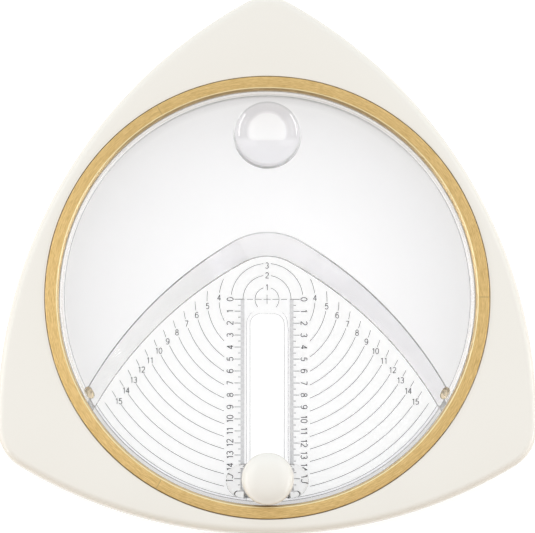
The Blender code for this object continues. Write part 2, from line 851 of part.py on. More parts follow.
def build_shoe(carriage, colour):
    corner = slot_corner
    block = rounded_box(slot_half - run_gap, -block_half, block_half, corner)
    web = slab_mesh("shoe", block, shoe_low + shoe_sheet / 2, shoe_top)
    shoe = add_object("shoe", web, carriage, colour)
    flange_half = block_half - run_gap
    plate = rounded_box(rebate_half - run_gap, -flange_half, flange_half, run_gap)
    flange = slab_mesh("shoe_flange", plate, shoe_low, shoe_flange_top)
    combine(shoe, add_object("shoe_flange", flange, carriage), "UNION")

    bore = rod_mesh("shoe_bore", collar_radius + run_gap, 0.0, saddle_roof)
    flats = add_object("shoe_bore", bore, carriage)
    half = collar_flat + run_gap
    sides = box_mesh("bore_flats", (-block_half, -half, -overrun), (block_half, half, saddle_top))
    combine(flats, add_object("bore_flats", sides, carriage), "INTERSECT")
    combine(shoe, flats, "DIFFERENCE")
    cuts = []
    for x, y in small_screw_places():
        seat = rod_mesh("small_head_hole", small_head_radius + screw_gap, 0.0, small_screw_seat())
        cuts.append(add_object("small_head_hole", seat, carriage, place=(x, y, 0.0)))
        shank = rod_mesh(
            "small_shank_hole", small_shank_radius + screw_gap, 0.0, saddle_roof, tiny_steps)
        cuts.append(add_object("small_shank_hole", shank, carriage, place=(x, y, 0.0)))
    combine(shoe, group_of("shoe_cuts", cuts), "DIFFERENCE")


def build_shoe_screws(carriage, colour):
    head_low = small_screw_seat() - screw_gap - small_head_height
    mesh = screw_mesh(
        "shoe_screw", small_head_radius, small_head_height, small_shank_radius,
        small_screw_length, head_low)
    for k, (x, y) in enumerate(small_screw_places()):
        add_object(f"shoe_screw_{k + 1}", mesh.copy(), carriage, colour, (x, y, 0.0))


def build_click_spring(carriage, colour):
    """A bowed leaf along the slot whose nose points at the click teeth."""
    back = rail_half + tooth_depth + run_gap + pocket_depth - seat_gap - leaf_sheet
    nose = rail_half + tooth_depth + screw_gap + leaf_sheet
    front = back - leaf_bow + nose_half
    path = [(back, -leaf_half), (back, -leaf_half + nose_half)]
    path += [(front, -nose_half), (nose, 0.0), (front, nose_half)]
    path += [(back, leaf_half - nose_half), (back, leaf_half)]
    low = saddle_low + seat_gap
    high = low + leaf_width - seat_gap
    count = len(path)
    mesh = bpy.data.meshes.new("click_spring")
    points = [(x, y, z) for z in (low, high) for x, y in path]
    faces = [(i, i + 1, count + i + 1, count + i) for i in range(count - 1)]
    mesh.from_pydata(points, [], faces)
    leaf = add_object("click_spring", mesh, carriage, colour)
    thick = leaf.modifiers.new("leaf thickness", "SOLIDIFY")
    thick.thickness = leaf_sheet
    thick.offset = 0.0
    thick.use_even_offset = True


def coil_points():
    """Points of the return spring, worked out turn by turn."""
    low = pocket_floor + seat_gap + wire_radius
    high = spring_top - wire_radius
    count = spring_turns * spring_points
    points = []
    for k in range(count + 1):
        angle = 2 * math.pi * k / spring_points
        height = low + (high - low) * k / count
        points.append((*polar(spring_radius, angle), height))
    return points


def build_return_spring(carriage, colour):
    points = coil_points()
    pitch = points[spring_points][2] - points[0][2]
    print(f"return_spring: least gap between turns {(pitch - 2 * wire_radius) / mm:.2f} mm")
    curve = bpy.data.curves.new("return_spring", "CURVE")
    curve.dimensions = "3D"
    curve.bevel_depth = wire_radius
    curve.bevel_resolution = 1
    curve.use_fill_caps = True
    spline = curve.splines.new("POLY")
    spline.points.add(len(points) - 1)
    for point, place in zip(spline.points, points):
        point.co = (*place, 1.0)
    curve.materials.append(colour)
    spring = bpy.data.objects.new("return_spring", curve)
    spring.parent = carriage
    parts.objects.link(spring)


# Knob body: what the finger pushes down

def build_knob(press, colour):
    widest = knob_mouth + knob_skirt
    crown = []
    for k in range(crown_steps + 1):
        turn = math.pi / 2 * (1 - k / crown_steps)
        power = 2 / knob_squareness
        crown.append((
            knob_radius * max(0.0, math.cos(turn)) ** power,
            widest + knob_crown * math.sin(turn) ** power))
    crown[0] = (0.0, widest + knob_crown)
    skirt = []
    for k in range(1, skirt_steps + 1):
        share = k / skirt_steps
        skirt.append((
            knob_radius - (knob_radius - knob_mouth_radius) * share ** skirt_bow,
            widest - knob_skirt * share))
    cavity = tower_radius + knob_wall_gap
    socket = spigot_radius + screw_gap
    top = knob_roof + spigot_length + screw_gap
    inside = [
        (cavity, knob_mouth),
        (cavity, knob_roof),
        (socket, knob_roof),
        (socket, top),
        (0.0, top),
    ]
    profile = crown + skirt + inside
    add_object("knob", turned_mesh("knob", profile, round_steps), press, colour)


def build_plunger(press, colour):
    profile = [
        (0.0, knob_roof + spigot_length),
        (spigot_radius, knob_roof + spigot_length),
        (spigot_radius, spring_top),
        (plunger_radius, spring_top),
        (plunger_radius, shoe_top),
        (collar_radius, shoe_top),
        (collar_radius, collar_low),
        (0.0, collar_low),
    ]
    plunger = add_object("plunger", turned_mesh("plunger", profile, small_steps), press, colour)
    cuts = []
    for side in (-1, 1):
        near = side * collar_flat
        far = side * (collar_radius + overrun)
        low = (-collar_radius - overrun, min(near, far), collar_low - overrun)
        high = (collar_radius + overrun, max(near, far), shoe_top + overrun)
        cuts.append(add_object("collar_flat", box_mesh("collar_flat", low, high), press))
    half = blade_sheet / 2 + screw_gap
    wide = blade_half + screw_gap
    low = (-wide, -half, collar_low - overrun)
    high = (wide, half, tip_height + blade_length + screw_gap)
    cuts.append(add_object("blade_slit", box_mesh("blade_slit", low, high), press))
    hole = rod_mesh(
        "set_hole", set_screw_radius + screw_gap, 0.0, collar_radius + overrun, tiny_steps)
    bore = add_object("set_hole", hole, press, place=(0.0, 0.0, collar_low + collar_height / 2))
    bore.rotation_euler.x = math.pi / 2
    cuts.append(bore)
    combine(plunger, group_of("plunger_cuts", cuts), "DIFFERENCE")


def build_blade(press, colour):
    top = tip_height + blade_length
    shoulder = tip_height + blade_point
    outline = [
        (0.0, tip_height),
        (blade_half, shoulder),
        (blade_half, top),
        (-blade_half, top),
        (-blade_half, shoulder),
    ]
    mesh = slab_mesh("blade", outline, -blade_sheet / 2, blade_sheet / 2)
    for vertex in mesh.vertices:
        x, y, z = vertex.co
        thin = blade_tip_share if y < shoulder - weld_gap else 1.0
        vertex.co = (x, z * thin, y)
    mesh.flip_normals()
    add_object("blade", mesh, press, colour)


def build_blade_screw(press, colour):
    near = blade_sheet / 2 + screw_gap
    far = collar_flat
    mesh = rod_mesh("blade_screw", set_screw_radius, near, far, tiny_steps)
    place = (0.0, 0.0, collar_low + collar_height / 2)
    screw = add_object("blade_screw", mesh, press, colour, place)
    screw.rotation_euler.x = math.pi / 2


def build():
    axis = empty("turntable_axis", (0.0, axis_y, 0.0))
    carriage = empty("carriage_place", (0.0, -cut_radius, 0.0), axis)
    press = empty("press_axis", (0.0, 0.0, 0.0), carriage)
    cream_abs = plastic("cream_abs", cream, 0.35)
    gold_ring = plastic("gold_ring", gold, 0.35, metallic=1.0)
    clear_ps = plastic("clear_polystyrene", clear, 0.05, transmission=1.0)
    screw_steel = plastic("screw_steel", steel, 0.3, metallic=1.0)
    rubber = plastic("black_rubber", black, 0.8)
    white_pom = plastic("white_acetal", white, 0.4)

    build_frame_shell(axis, cream_abs)
    build_frame_base(axis, cream_abs)
    build_rubber_pads(axis, rubber)
    build_base_screws(axis, screw_steel)
    build_gold_ring(axis, gold_ring)
    build_disc(axis, clear_ps)
    build_saddle(carriage, clear_ps)
    build_shoe(carriage, white_pom)
    build_shoe_screws(carriage, screw_steel)
    build_click_spring(carriage, screw_steel)
    build_return_spring(carriage, screw_steel)
    build_knob(press, cream_abs)
    build_plunger(press, white_pom)
    build_blade(press, screw_steel)
    build_blade_screw(press, screw_steel)


build()
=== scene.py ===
import math

import bmesh
import bpy
import numpy as np
from mathutils import Matrix, Vector


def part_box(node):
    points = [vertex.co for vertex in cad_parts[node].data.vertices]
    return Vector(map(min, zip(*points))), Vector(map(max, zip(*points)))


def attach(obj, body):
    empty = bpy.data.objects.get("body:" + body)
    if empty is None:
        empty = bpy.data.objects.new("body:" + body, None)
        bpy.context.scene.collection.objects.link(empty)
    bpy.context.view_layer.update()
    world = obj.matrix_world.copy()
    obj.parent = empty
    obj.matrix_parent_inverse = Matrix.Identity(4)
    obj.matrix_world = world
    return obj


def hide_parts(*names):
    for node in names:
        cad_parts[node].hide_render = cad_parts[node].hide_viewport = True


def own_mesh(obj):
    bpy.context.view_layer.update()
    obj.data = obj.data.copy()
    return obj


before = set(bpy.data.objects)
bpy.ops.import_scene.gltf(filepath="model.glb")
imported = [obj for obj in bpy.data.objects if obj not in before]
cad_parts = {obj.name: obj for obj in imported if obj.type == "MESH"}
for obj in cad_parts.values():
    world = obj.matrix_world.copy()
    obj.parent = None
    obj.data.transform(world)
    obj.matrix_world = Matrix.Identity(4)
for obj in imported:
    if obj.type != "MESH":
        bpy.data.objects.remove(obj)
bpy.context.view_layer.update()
scene = bpy.context.scene
mm = 0.001
weldGap = {"made": 0.0005 * mm, "cut": 0.001 * mm}  # closer points are one point
cornerSteps = {"least": 3, "perRadian": 5}  # of a rounded corner

# The disc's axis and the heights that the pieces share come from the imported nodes, in mm
ringLow, ringHigh = (np.array(corner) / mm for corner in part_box("gold_ring"))
shellLow, shellHigh = (np.array(corner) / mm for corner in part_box("frame_shell"))
saddleLow, saddleHigh = (np.array(corner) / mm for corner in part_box("saddle"))
knobLow, knobHigh = (np.array(corner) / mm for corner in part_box("knob"))
axis = (ringLow + ringHigh)[:2] / 2
carriage = (saddleLow + saddleHigh)[:2] / 2
print("frame loaded, disc's axis at", np.round(axis, 2), "mm")


def pick(form, names):
    # the values of several names, written in one string
    return [form[name] for name in names.split()]


# Meshes from arrays. Points are in mm about the disc's axis, and place moves them.

def putMesh(name, points, faces, uv=None, place=axis, lids=()):
    # faces is an array of one row for each face, and lids are outlines closed by one face
    mesh = bpy.data.meshes.new(name)
    spots = np.array(points, float).reshape(-1, 3) + (*place, 0.0)
    faces = np.asarray(faces)
    loops = np.concatenate([faces.ravel(), *lids]).astype(np.int32)
    sizes = np.array([faces.shape[1]] * len(faces) + [len(lid) for lid in lids])
    mesh.vertices.add(len(spots))
    mesh.vertices.foreach_set("co", (spots * mm).ravel())
    mesh.loops.add(loops.size)
    mesh.loops.foreach_set("vertex_index", loops)
    mesh.polygons.add(len(sizes))
    mesh.polygons.foreach_set("loop_start", (np.cumsum(sizes) - sizes).astype(np.int32))
    mesh.update(calc_edges=True)
    if uv is not None:
        layer = mesh.uv_layers.new(name="surface")
        layer.data.foreach_set("uv", np.asarray(uv).reshape(-1, 2)[loops].ravel())
    piece = bpy.data.objects.new(name, mesh)
    scene.collection.objects.link(piece)
    return piece


def gridFaces(rows, columns):
    # one face between each four neighbours of a grid of points, counted row by row
    index = np.arange(rows * columns).reshape(rows, columns)
    return np.stack(
        [index[:-1, :-1], index[:-1, 1:], index[1:, 1:], index[1:, :-1]], axis=-1).reshape(-1, 4)


def closeSeams(piece, sharpAt=30):
    # doubles at a seam or a pole are one point, and every face then looks outwards
    shape = bmesh.new()
    shape.from_mesh(piece.data)
    bmesh.ops.remove_doubles(shape, verts=shape.verts, dist=weldGap["made"])
    bmesh.ops.dissolve_degenerate(shape, edges=shape.edges, dist=weldGap["made"])
    bmesh.ops.recalc_face_normals(shape, faces=shape.faces)
    shape.to_mesh(piece.data)
    shape.free()
    smoothShade(piece, sharpAt)


def smoothShade(piece, sharpAt=30):
    piece.data.shade_smooth()
    piece.data.set_sharp_from_angle(angle=math.radians(sharpAt))


def roundCorners(corners, closed=False):
    # corners are (x, y, radius). An arc's centre lies radius / sin(half the corner's angle)
    # from the corner, on the line that halves it
    spots = np.array([c[:2] for c in corners], float)
    out = []
    for k, (*_, radius) in enumerate(corners):
        inner = closed or 0 < k < len(corners) - 1
        if not radius or not inner:
            out.append(spots[k:k + 1])
            continue
        before = spots[k - 1] - spots[k]
        after = spots[(k + 1) % len(spots)] - spots[k]
        before /= np.linalg.norm(before)
        after /= np.linalg.norm(after)
        half = math.acos(np.clip(before @ after, -1, 1)) / 2
        middle = (before + after) / np.linalg.norm(before + after)
        centre = spots[k] + middle * radius / math.sin(half)
        first = spots[k] + before * radius / math.tan(half) - centre
        last = spots[k] + after * radius / math.tan(half) - centre
        start = math.atan2(first[1], first[0])
        sweep = (math.atan2(last[1], last[0]) - start + math.pi) % (2 * math.pi) - math.pi
        count = max(cornerSteps["least"], int(abs(sweep) * cornerSteps["perRadian"]))
        turn = start + sweep * np.linspace(0, 1, count + 1)
        out.append(centre + radius * np.stack([np.cos(turn), np.sin(turn)], axis=-1))
    return np.concatenate(out)


def turned(name, profile, steps=360, place=axis):
    # a profile of (radius, height) carried round the axis: a point goes to (r cos t, r sin t,
    # z). u is the turn, and v the way along the profile in mm.
    path = np.array(profile, float)
    if path[0][0] > 0 or path[-1][0] > 0:
        path = np.concatenate([path, path[:1]])
    flat = [bool(a[0] == 0 and a[1] == b[1]) for a, b in ((path[0], path[1]), (path[-1], path[-2]))]
    path = path[flat[0]:len(path) - flat[1]]
    around = np.arange(steps)
    lids = [around] * flat[0] + [around + (len(path) - 1) * (steps + 1)] * flat[1]
    turn = np.linspace(0, 2 * np.pi, steps + 1)
    radius, height = path[:, 0, None], path[:, 1, None]
    points = np.stack(
        [radius * np.cos(turn), radius * np.sin(turn), height + 0 * turn], axis=-1)
    run = np.concatenate([[0], np.cumsum(np.linalg.norm(np.diff(path, axis=0), axis=1))])
    uv = np.stack(np.broadcast_arrays(turn / (2 * np.pi), run[:, None]), axis=-1)
    piece = putMesh(name, points, gridFaces(len(path), steps + 1), uv, place, lids)
    closeSeams(piece)
    return piece


def lofted(name, rings, place=axis, sharpAt=30):
    # closed outlines of one length, one above the other, with a flat lid at each end
    stack = np.array(rings, float)
    stack = np.concatenate([stack, stack[:, :1]], axis=1)
    rows, columns = stack.shape[:2]
    around = np.arange(columns - 1)
    piece = putMesh(
        name, stack, gridFaces(rows, columns), place=place,
        lids=[around, around + (rows - 1) * columns])
    closeSeams(piece, sharpAt)
    return piece


def raised(outline, height):
    # a flat outline at one height
    flat = np.asarray(outline, float)
    return np.concatenate([flat, np.full((len(flat), 1), height)], axis=1)


def slab(name, outline, low, high, place=axis):
    return lofted(name, [raised(outline, low), raised(outline, high)], place)


def combine(piece, other, operation):
    # joins the other shape to the piece, or cuts it away, and deletes it
    step = piece.modifiers.new(operation, "BOOLEAN")
    step.operation = operation
    step.solver = "EXACT"
    step.object = other
    graph = bpy.context.evaluated_depsgraph_get()
    made = bpy.data.meshes.new_from_object(piece.evaluated_get(graph))
    shape = bmesh.new()
    shape.from_mesh(made)
    bmesh.ops.remove_doubles(shape, verts=shape.verts, dist=weldGap["cut"])
    shape.to_mesh(made)
    shape.free()
    piece.modifiers.clear()
    old = piece.data
    piece.data = made
    bpy.data.meshes.remove(old)
    bpy.data.objects.remove(other)


# Materials

def fill(node, values):
    # each input is linked to the socket given for it, or takes the value given
    for key, value in dict(values).items():
        if isinstance(value, bpy.types.NodeSocket):
            node.id_data.links.new(value, node.inputs[key])
        else:
            node.inputs[key].default_value = value


def newMaterial(name, colour, roughness, metallic=0.0):
    mat = bpy.data.materials.new(name)
    mat.use_nodes = True
    shader = mat.node_tree.nodes["Principled BSDF"]
    fill(shader, {"Base Color": (*colour, 1.0), "Roughness": roughness, "Metallic": metallic})
    return mat, mat.node_tree, shader


def addNode(tree, kind, values=(), **settings):
    node = tree.nodes.new("ShaderNode" + kind)
    for key, value in settings.items():
        setattr(node, key, value)
    fill(node, values)
    return node


def noiseOf(tree, scale, detail=3.0, stretch=None, vector=None):
    where = vector or addNode(tree, "TexCoord").outputs["Object"]
    if stretch:
        where = addNode(tree, "Mapping", {"Vector": where, "Scale": stretch}).outputs[0]
    values = {"Vector": where, "Scale": scale, "Detail": detail}
    return addNode(tree, "TexNoise", values).outputs["Fac"]


def spread(tree, value, low, high, fromLow=0.3, fromHigh=0.7):
    # low below fromLow, high above fromHigh, and evenly from one to the other between them
    return addNode(
        tree, "MapRange",
        {"Value": value, "From Min": fromLow, "From Max": fromHigh, "To Min": low, "To Max": high}
    ).outputs["Result"]


def mixOf(tree, factor, a, b, blend="MIX"):
    a, b = ((*colour, 1.0) if isinstance(colour, tuple) else colour for colour in (a, b))
    mix = addNode(tree, "Mix", {0: factor, 6: a, 7: b}, data_type="RGBA", blend_type=blend)
    return mix.outputs[2]


def mathOf(tree, operation, a, b=0.0):
    return addNode(tree, "Math", {0: a, 1: b}, operation=operation).outputs[0]


def bumped(tree, shader, value, distance):
    bump = addNode(tree, "Bump", {"Height": value, "Strength": 1.0, "Distance": distance})
    fill(shader, {"Normal": bump.outputs["Normal"]})


def makeCream(name, look):
    # painted shade: the cream grows warmer and darker downwards, from the height footTo to
    # footFrom, in mm
    mat, tree, shader = newMaterial(name, look["light"], look["roughness"][0])
    cloud = mixOf(tree, noiseOf(tree, look["cloud"], 2.0), look["dark"], look["light"])
    where = addNode(tree, "TexCoord").outputs["Object"]
    height = addNode(tree, "SeparateXYZ", {0: where}).outputs["Z"]
    down = spread(tree, height, 1.0, 0.0, look["footFrom"] * mm, look["footTo"] * mm)
    tone = mixOf(tree, down, cloud, look["foot"], "MULTIPLY")
    grain = noiseOf(tree, look["grain"], 2.0)
    fill(shader, {"Base Color": tone, "Roughness": spread(tree, grain, *look["roughness"])})
    bumped(tree, shader, grain, look["relief"])
    return mat


# Gold. The edge line is a painted highlight and the inside is painted shade on the inner wall;
# both lie along the ring's profile, in mm, and a seam is a share of a turn. A side is the turn
# where the ring is painted lightest or darkest, how much, and the cosine of the way round at
# which that starts: painted light on the left and painted shade at the back.
goldLook = {
    "light": (0.89, 0.635, 0.283), "dark": (0.65, 0.43, 0.16), "contrast": (0.40, 0.60),
    "edge": (1.0, 0.86, 0.52), "highlightAt": 0.15, "highlightHalf": 0.3,
    "inside": (0.75, 0.565, 0.31), "insideFrom": 6.0,
    "seam": (0.60, 0.42, 0.18), "seams": 3.0, "seamHalf": 0.001,
    "sides": ((0.53, 1.13, 0.5), (0.25, 0.945, 0.2)),
    "fine": (260.0, 5.5, 1.0), "fineShare": 0.55, "wide": (90.0, 3.0, 1.0),
    "roughness": (0.30, 0.46), "relief": 0.005 * mm,
}


def makeGold():
    # short streaks along the turn, by the piece's own map: u is the turn, and v the way round
    # the profile, from the painted highlight line at the edge to the painted shade of the inside
    look = goldLook
    mat, tree, shader = newMaterial("brushedGold", look["light"], look["roughness"][0], 1.0)
    where = addNode(tree, "UVMap", uv_map="surface").outputs["UV"]
    turn, across = addNode(tree, "SeparateXYZ", {0: where}).outputs[:2]
    fine = noiseOf(tree, 1.0, 3.0, look["fine"], where)
    wide = noiseOf(tree, 1.0, 2.0, look["wide"], where)
    both = mathOf(
        tree, "ADD", mathOf(tree, "MULTIPLY", fine, look["fineShare"]),
        mathOf(tree, "MULTIPLY", wide, 1 - look["fineShare"]))
    tone = mixOf(tree, spread(tree, both, 0.0, 1.0, *look["contrast"]), look["dark"], look["light"])
    away = mathOf(tree, "ABSOLUTE", mathOf(tree, "SUBTRACT", across, look["highlightAt"]))
    edge = mathOf(tree, "LESS_THAN", away, look["highlightHalf"])
    inside = mathOf(tree, "GREATER_THAN", across, look["insideFrom"])
    # faint seams across the ring, evenly apart
    parts = mathOf(tree, "MULTIPLY", turn, look["seams"])
    part = mathOf(tree, "FRACT", mathOf(tree, "ADD", parts, 0.5))
    off = mathOf(tree, "ABSOLUTE", mathOf(tree, "SUBTRACT", part, 0.5))
    tone = mixOf(tree, mathOf(tree, "LESS_THAN", off, look["seamHalf"]), tone, look["seam"])
    # painted light and shade round the ring: lighter on the left, darker at the back
    for side, share, least in look["sides"]:
        angle = mathOf(tree, "MULTIPLY", mathOf(tree, "SUBTRACT", turn, side), 2 * math.pi)
        change = spread(tree, mathOf(tree, "COSINE", angle), 1.0, share, least, 1.0)
        tone = mixOf(tree, 1.0, tone, change, "MULTIPLY")
    # a painted highlight line along the inner edge, and painted shade on the inner wall
    tone = mixOf(tree, edge, tone, look["edge"])
    tone = mixOf(tree, inside, tone, look["inside"])
    fill(shader, {"Base Color": tone, "Roughness": spread(tree, fine, *look["roughness"])})
    bumped(tree, shader, fine, look["relief"])
    return mat


# Clear moulding. Floor, ramp and plateau are heights in mm; the painted shade towards the rim and
# the painted shadow band lie by the distance from the disc's axis, and back by the distance behind
# it.
clearLook = {
    "index": 1.49, "roughness": 0.015,
    "span": 14, "floorTo": 3.22, "rampFrom": 3.4, "rampTo": 12.4, "plateauFrom": 12.9,
    "rimShade": 0.72, "rimFrom": 35 * mm, "rimTo": 85 * mm,
    "shadowBand": 0.52, "bandFrom": 80.5 * mm, "bandTo": 84.2 * mm,
    "backFrom": 45 * mm, "backTo": 80 * mm,
}


def makeClear(name, plateau, ramp, floor, opacity=1.0, tinted=False):
    # the colour follows the height, the plateau and the low sector painted grey as shade on the
    # paper under them, and the tint attribute, painted light and shade, changes it face by face
    look = clearLook
    mat, tree, shader = newMaterial(name, (1, 1, 1), look["roughness"])
    fill(shader, {"Transmission Weight": 1.0, "IOR": look["index"], "Alpha": opacity})
    where = addNode(tree, "TexCoord").outputs["Object"]
    height = addNode(tree, "SeparateXYZ", {0: where}).outputs["Z"]
    levels = addNode(tree, "ValToRGB", {
        "Fac": spread(tree, height, 0.0, 1.0, 0.0, look["span"] * mm)})
    stops = levels.color_ramp.elements
    stops[0].position, stops[0].color = look["floorTo"] / look["span"], (*floor, 1)
    stops[1].position, stops[1].color = look["plateauFrom"] / look["span"], (*plateau, 1)
    for place in ("rampFrom", "rampTo"):
        stops.new(look[place] / look["span"]).color = (*ramp, 1)
    tone = levels.outputs["Color"]
    if tinted:
        centred = addNode(tree, "Mapping", {
            "Vector": where, "Location": (-axis[0] * mm, -axis[1] * mm, 0), "Scale": (1, 1, 0)})
        spot = centred.outputs[0]
        far = addNode(tree, "VectorMath", {0: spot}, operation="LENGTH").outputs["Value"]
        behind = addNode(tree, "SeparateXYZ", {0: spot}).outputs["Y"]
        # painted shade: the plateau darkens towards the rim, with a soft painted shadow band along
        # the back of the rim
        rimShade = spread(tree, far, 1.0, look["rimShade"], look["rimFrom"], look["rimTo"])
        shadowBand = mathOf(
            tree, "MULTIPLY", spread(tree, far, 0.0, 1.0, look["bandFrom"], look["bandTo"]),
            spread(tree, behind, 0.0, 1.0, look["backFrom"], look["backTo"]))
        rimShade = mathOf(tree, "MULTIPLY", rimShade, spread(tree, shadowBand, 1.0, look["shadowBand"], 0.0, 1.0))
        high = spread(tree, height, 0.0, 1.0, look["rampTo"] * mm, look["plateauFrom"] * mm)
        rimShade = mixOf(tree, high, (1, 1, 1), rimShade)
        facet = addNode(tree, "Attribute", attribute_name="tint").outputs["Color"]
        tone = mixOf(tree, 1.0, tone, facet, "MULTIPLY")
        tone = mixOf(tree, 1.0, tone, rimShade, "MULTIPLY")
    fill(shader, {"Base Color": tone})
    return mat


def makePlain(name, light, dark, roughness, metallic=0.0, scale=700.0, relief=0.01 * mm, vary=0.15):
    # two near tones in a fine cloud, which also varies the roughness a little
    mat, tree, shader = newMaterial(name, light, roughness, metallic)
    cloud = noiseOf(tree, scale, 3.0)
    rough = spread(tree, cloud, roughness * (1 - vary), roughness * (1 + vary))
    fill(shader, {"Base Color": mixOf(tree, cloud, dark, light), "Roughness": rough})
    bumped(tree, shader, cloud, relief)
    return mat


creamGrain = {"cloud": 9.0, "grain": 2600, "relief": 0.0003 * mm, "roughness": (0.17, 0.20)}
# the shell and the base plate: foot is painted shade, darker and warmer towards the floor
cream = makeCream("creamPlastic", {
    "light": (0.866, 0.839, 0.778), "dark": (0.856, 0.827, 0.763), "foot": (0.895, 0.862, 0.805),
    "footFrom": 11.5, "footTo": 14.05, **creamGrain})
# the knob: foot is painted shade with a painted warm reflection of the gold ring on the skirt
creamKnob = makeCream("creamKnob", {
    "light": (0.88, 0.855, 0.798), "dark": (0.87, 0.843, 0.783), "foot": (0.88, 0.81, 0.73),
    "footFrom": 19.0, "footTo": 23.5, **creamGrain})
gold = makeGold()
# the clear colours are those of the plateau, the ramp and the low sector; the plateau's and the
# low sector's greys are painted shade
clear = makeClear(
    "clearPlastic", (0.95, 0.95, 0.955), (0.997, 0.989, 1.0), (0.98, 0.98, 0.98), 0.7, True)
# goldGlint colours the painted reflections of the gold ring at the ramp's ends
glint = makeClear("goldGlint", (0.86, 0.76, 0.58), (0.82, 0.71, 0.52), (0.82, 0.71, 0.52))
clearSaddle = makeClear("clearSaddle", *[(1.0, 1.0, 0.998)] * 3)
printed = {"roughness": 0.6, "scale": 3000, "relief": 0.002 * mm}
ink = makePlain("greyInk", (0.13, 0.13, 0.14), (0.10, 0.10, 0.11), **printed)
paleInk = makePlain("paleInk", (0.62, 0.62, 0.63), (0.58, 0.58, 0.59), **printed)
steel = makePlain("platedSteel", (0.62, 0.62, 0.63), (0.50, 0.50, 0.52), 0.28, 1.0)
rubber = makePlain("blackRubber", (0.035, 0.035, 0.035), (0.02, 0.02, 0.02), 0.8, relief=0.03 * mm)
acetal = makePlain("whiteAcetal", (0.82, 0.82, 0.81), (0.78, 0.78, 0.77), 0.4)
print("materials made")


def dress(piece, mat, body, *nodes, slot=None):
    piece.data.materials.clear()
    piece.data.materials.append(mat)
    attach(piece, body)
    if nodes:
        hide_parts(*nodes)


def repaint(mat, *names):
    for name in names:
        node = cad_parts[name]
        for place in node.material_slots:
            place.material = mat


# Frame shell: three bowed sides joined by round corners, with a stepped round opening

shellForm = {
    "sideRadius": 200.5, "sideReach": 98.0, "cornerRadius": 18.65,
    "edge": 3.0, "wall": 2.2, "step": 92.4, "seat": 86.8, "seatTop": 11.4, "seatLow": 9.4,
    "cup": 91.0, "cupWall": 2.0, "cupLow": 3.1, "softEdge": 0.25, "inset": 0.06,
    "beyond": 2.0, "steps": 720,
}


def outlineReach(turn, grow):
    # how far the outline, moved out by grow, lies from the axis. A ray leaves a circle of
    # radius r, d away and at the angle a, at d cos a + sqrt(r^2 - (d sin a)^2): the corner's
    # circle near a corner, and the side's elsewhere.
    side, corner, reach = pick(shellForm, "sideRadius cornerRadius sideReach")
    back = side - reach
    # how far out a corner's circle lies, where 0.75 is the square of the sine of 60 degrees
    tip = math.sqrt((side - corner) ** 2 - 0.75 * back ** 2) - back / 2
    half = math.pi / 3 - math.asin(tip * math.sin(math.pi / 3) / (side - corner))
    away = np.abs((turn - math.pi / 6) % (2 * math.pi / 3) - math.pi / 3)
    touch = np.arctan2((corner + grow) * math.sin(half), tip + (corner + grow) * math.cos(half))
    shift = back * np.cos(math.pi / 3 - away)
    bowed = np.sqrt((side + grow) ** 2 - back ** 2 + shift ** 2) - shift
    across = np.minimum(np.abs(tip * np.sin(away)), corner + grow)
    rounded = tip * np.cos(away) + np.sqrt((corner + grow) ** 2 - across ** 2)
    return np.where(away < touch, rounded, bowed)


def makeFrameShell():
    # a profile carried round: its outer points follow the outline, its inner ones circles
    wall, edge, soft, inset, beyond, steps = pick(
        shellForm, "wall edge softEdge inset beyond steps")
    step, seat, seatTop, seatLow, cup, cupWall, cupLow = pick(
        shellForm, "step seat seatTop seatLow cup cupWall cupLow")
    low, top = shellLow[2], shellHigh[2]
    inside = top - wall
    outer = roundCorners([
        (-wall, inside, 0), (-wall, low, soft), (0, low, soft), (0, top, edge),
        (-4 * edge, top, 0)])[1:-1]
    cupOut, stepOut = cup + cupWall, step + cupWall
    inner = roundCorners([
        (step + beyond, top, 0), (step, top, soft), (step, seatTop, 0), (seat, seatTop, soft),
        (seat, seatLow, soft), (cup, seatLow, 0), (cup, cupLow, soft), (cupOut, cupLow, soft),
        (cupOut, seatLow - stepOut + cupOut, 0), (stepOut, seatLow, 0), (stepOut, inside, 0)])[1:]
    turn = np.linspace(0, 2 * np.pi, steps + 1)
    rims = [outlineReach(turn, grow - inset) for grow, _ in outer]
    rims += [np.full(turn.shape, radius) for radius, _ in inner]
    rims += [outlineReach(turn, -wall - inset), rims[0]]
    heights = [z for _, z in [*outer, *inner]] + [inside, outer[0][1]]
    radius, height = np.array(rims), np.array(heights)[:, None] + 0 * turn
    points = np.stack([radius * np.cos(turn), radius * np.sin(turn), height], axis=-1)
    piece = putMesh("frameShell", points, gridFaces(*radius.shape))
    closeSeams(piece)
    dress(piece, cream, "frame", "frame_shell", slot="cream_abs")


makeFrameShell()
print("frame shell made")


# Gold ring, a channel turned about the axis

ringForm = {
    "inner": 86.5, "chamferRun": 0.8, "chamferDrop": 1.2, "leg": 1.3, "sheet": 1.4,
    "softEdge": 0.18, "seatGap": 0.3, "steps": 720,
}


def makeGoldRing():
    inner, leg, sheet, soft, run, drop = pick(
        ringForm, "inner leg sheet softEdge chamferRun chamferDrop")
    outer = ringHigh[0] - axis[0]
    top, low = ringHigh[2], shellForm["seatTop"] + ringForm["seatGap"]
    roof = top - sheet
    profile = roundCorners([
        (inner + run, top, soft), (outer, top, soft), (outer, low, 0), (outer - leg, low, 0),
        (outer - leg, roof, 0), (inner + leg, roof, 0), (inner + leg, low, 0), (inner, low, 0),
        (inner, top - drop, soft)], closed=True)
    piece = turned("goldRing", profile, ringForm["steps"])
    dress(piece, gold, "frame", "gold_ring", slot="gold_ring")


makeGoldRing()
print("gold ring made")


# Clear disc: plateau, ramp, low sector, wall and flange

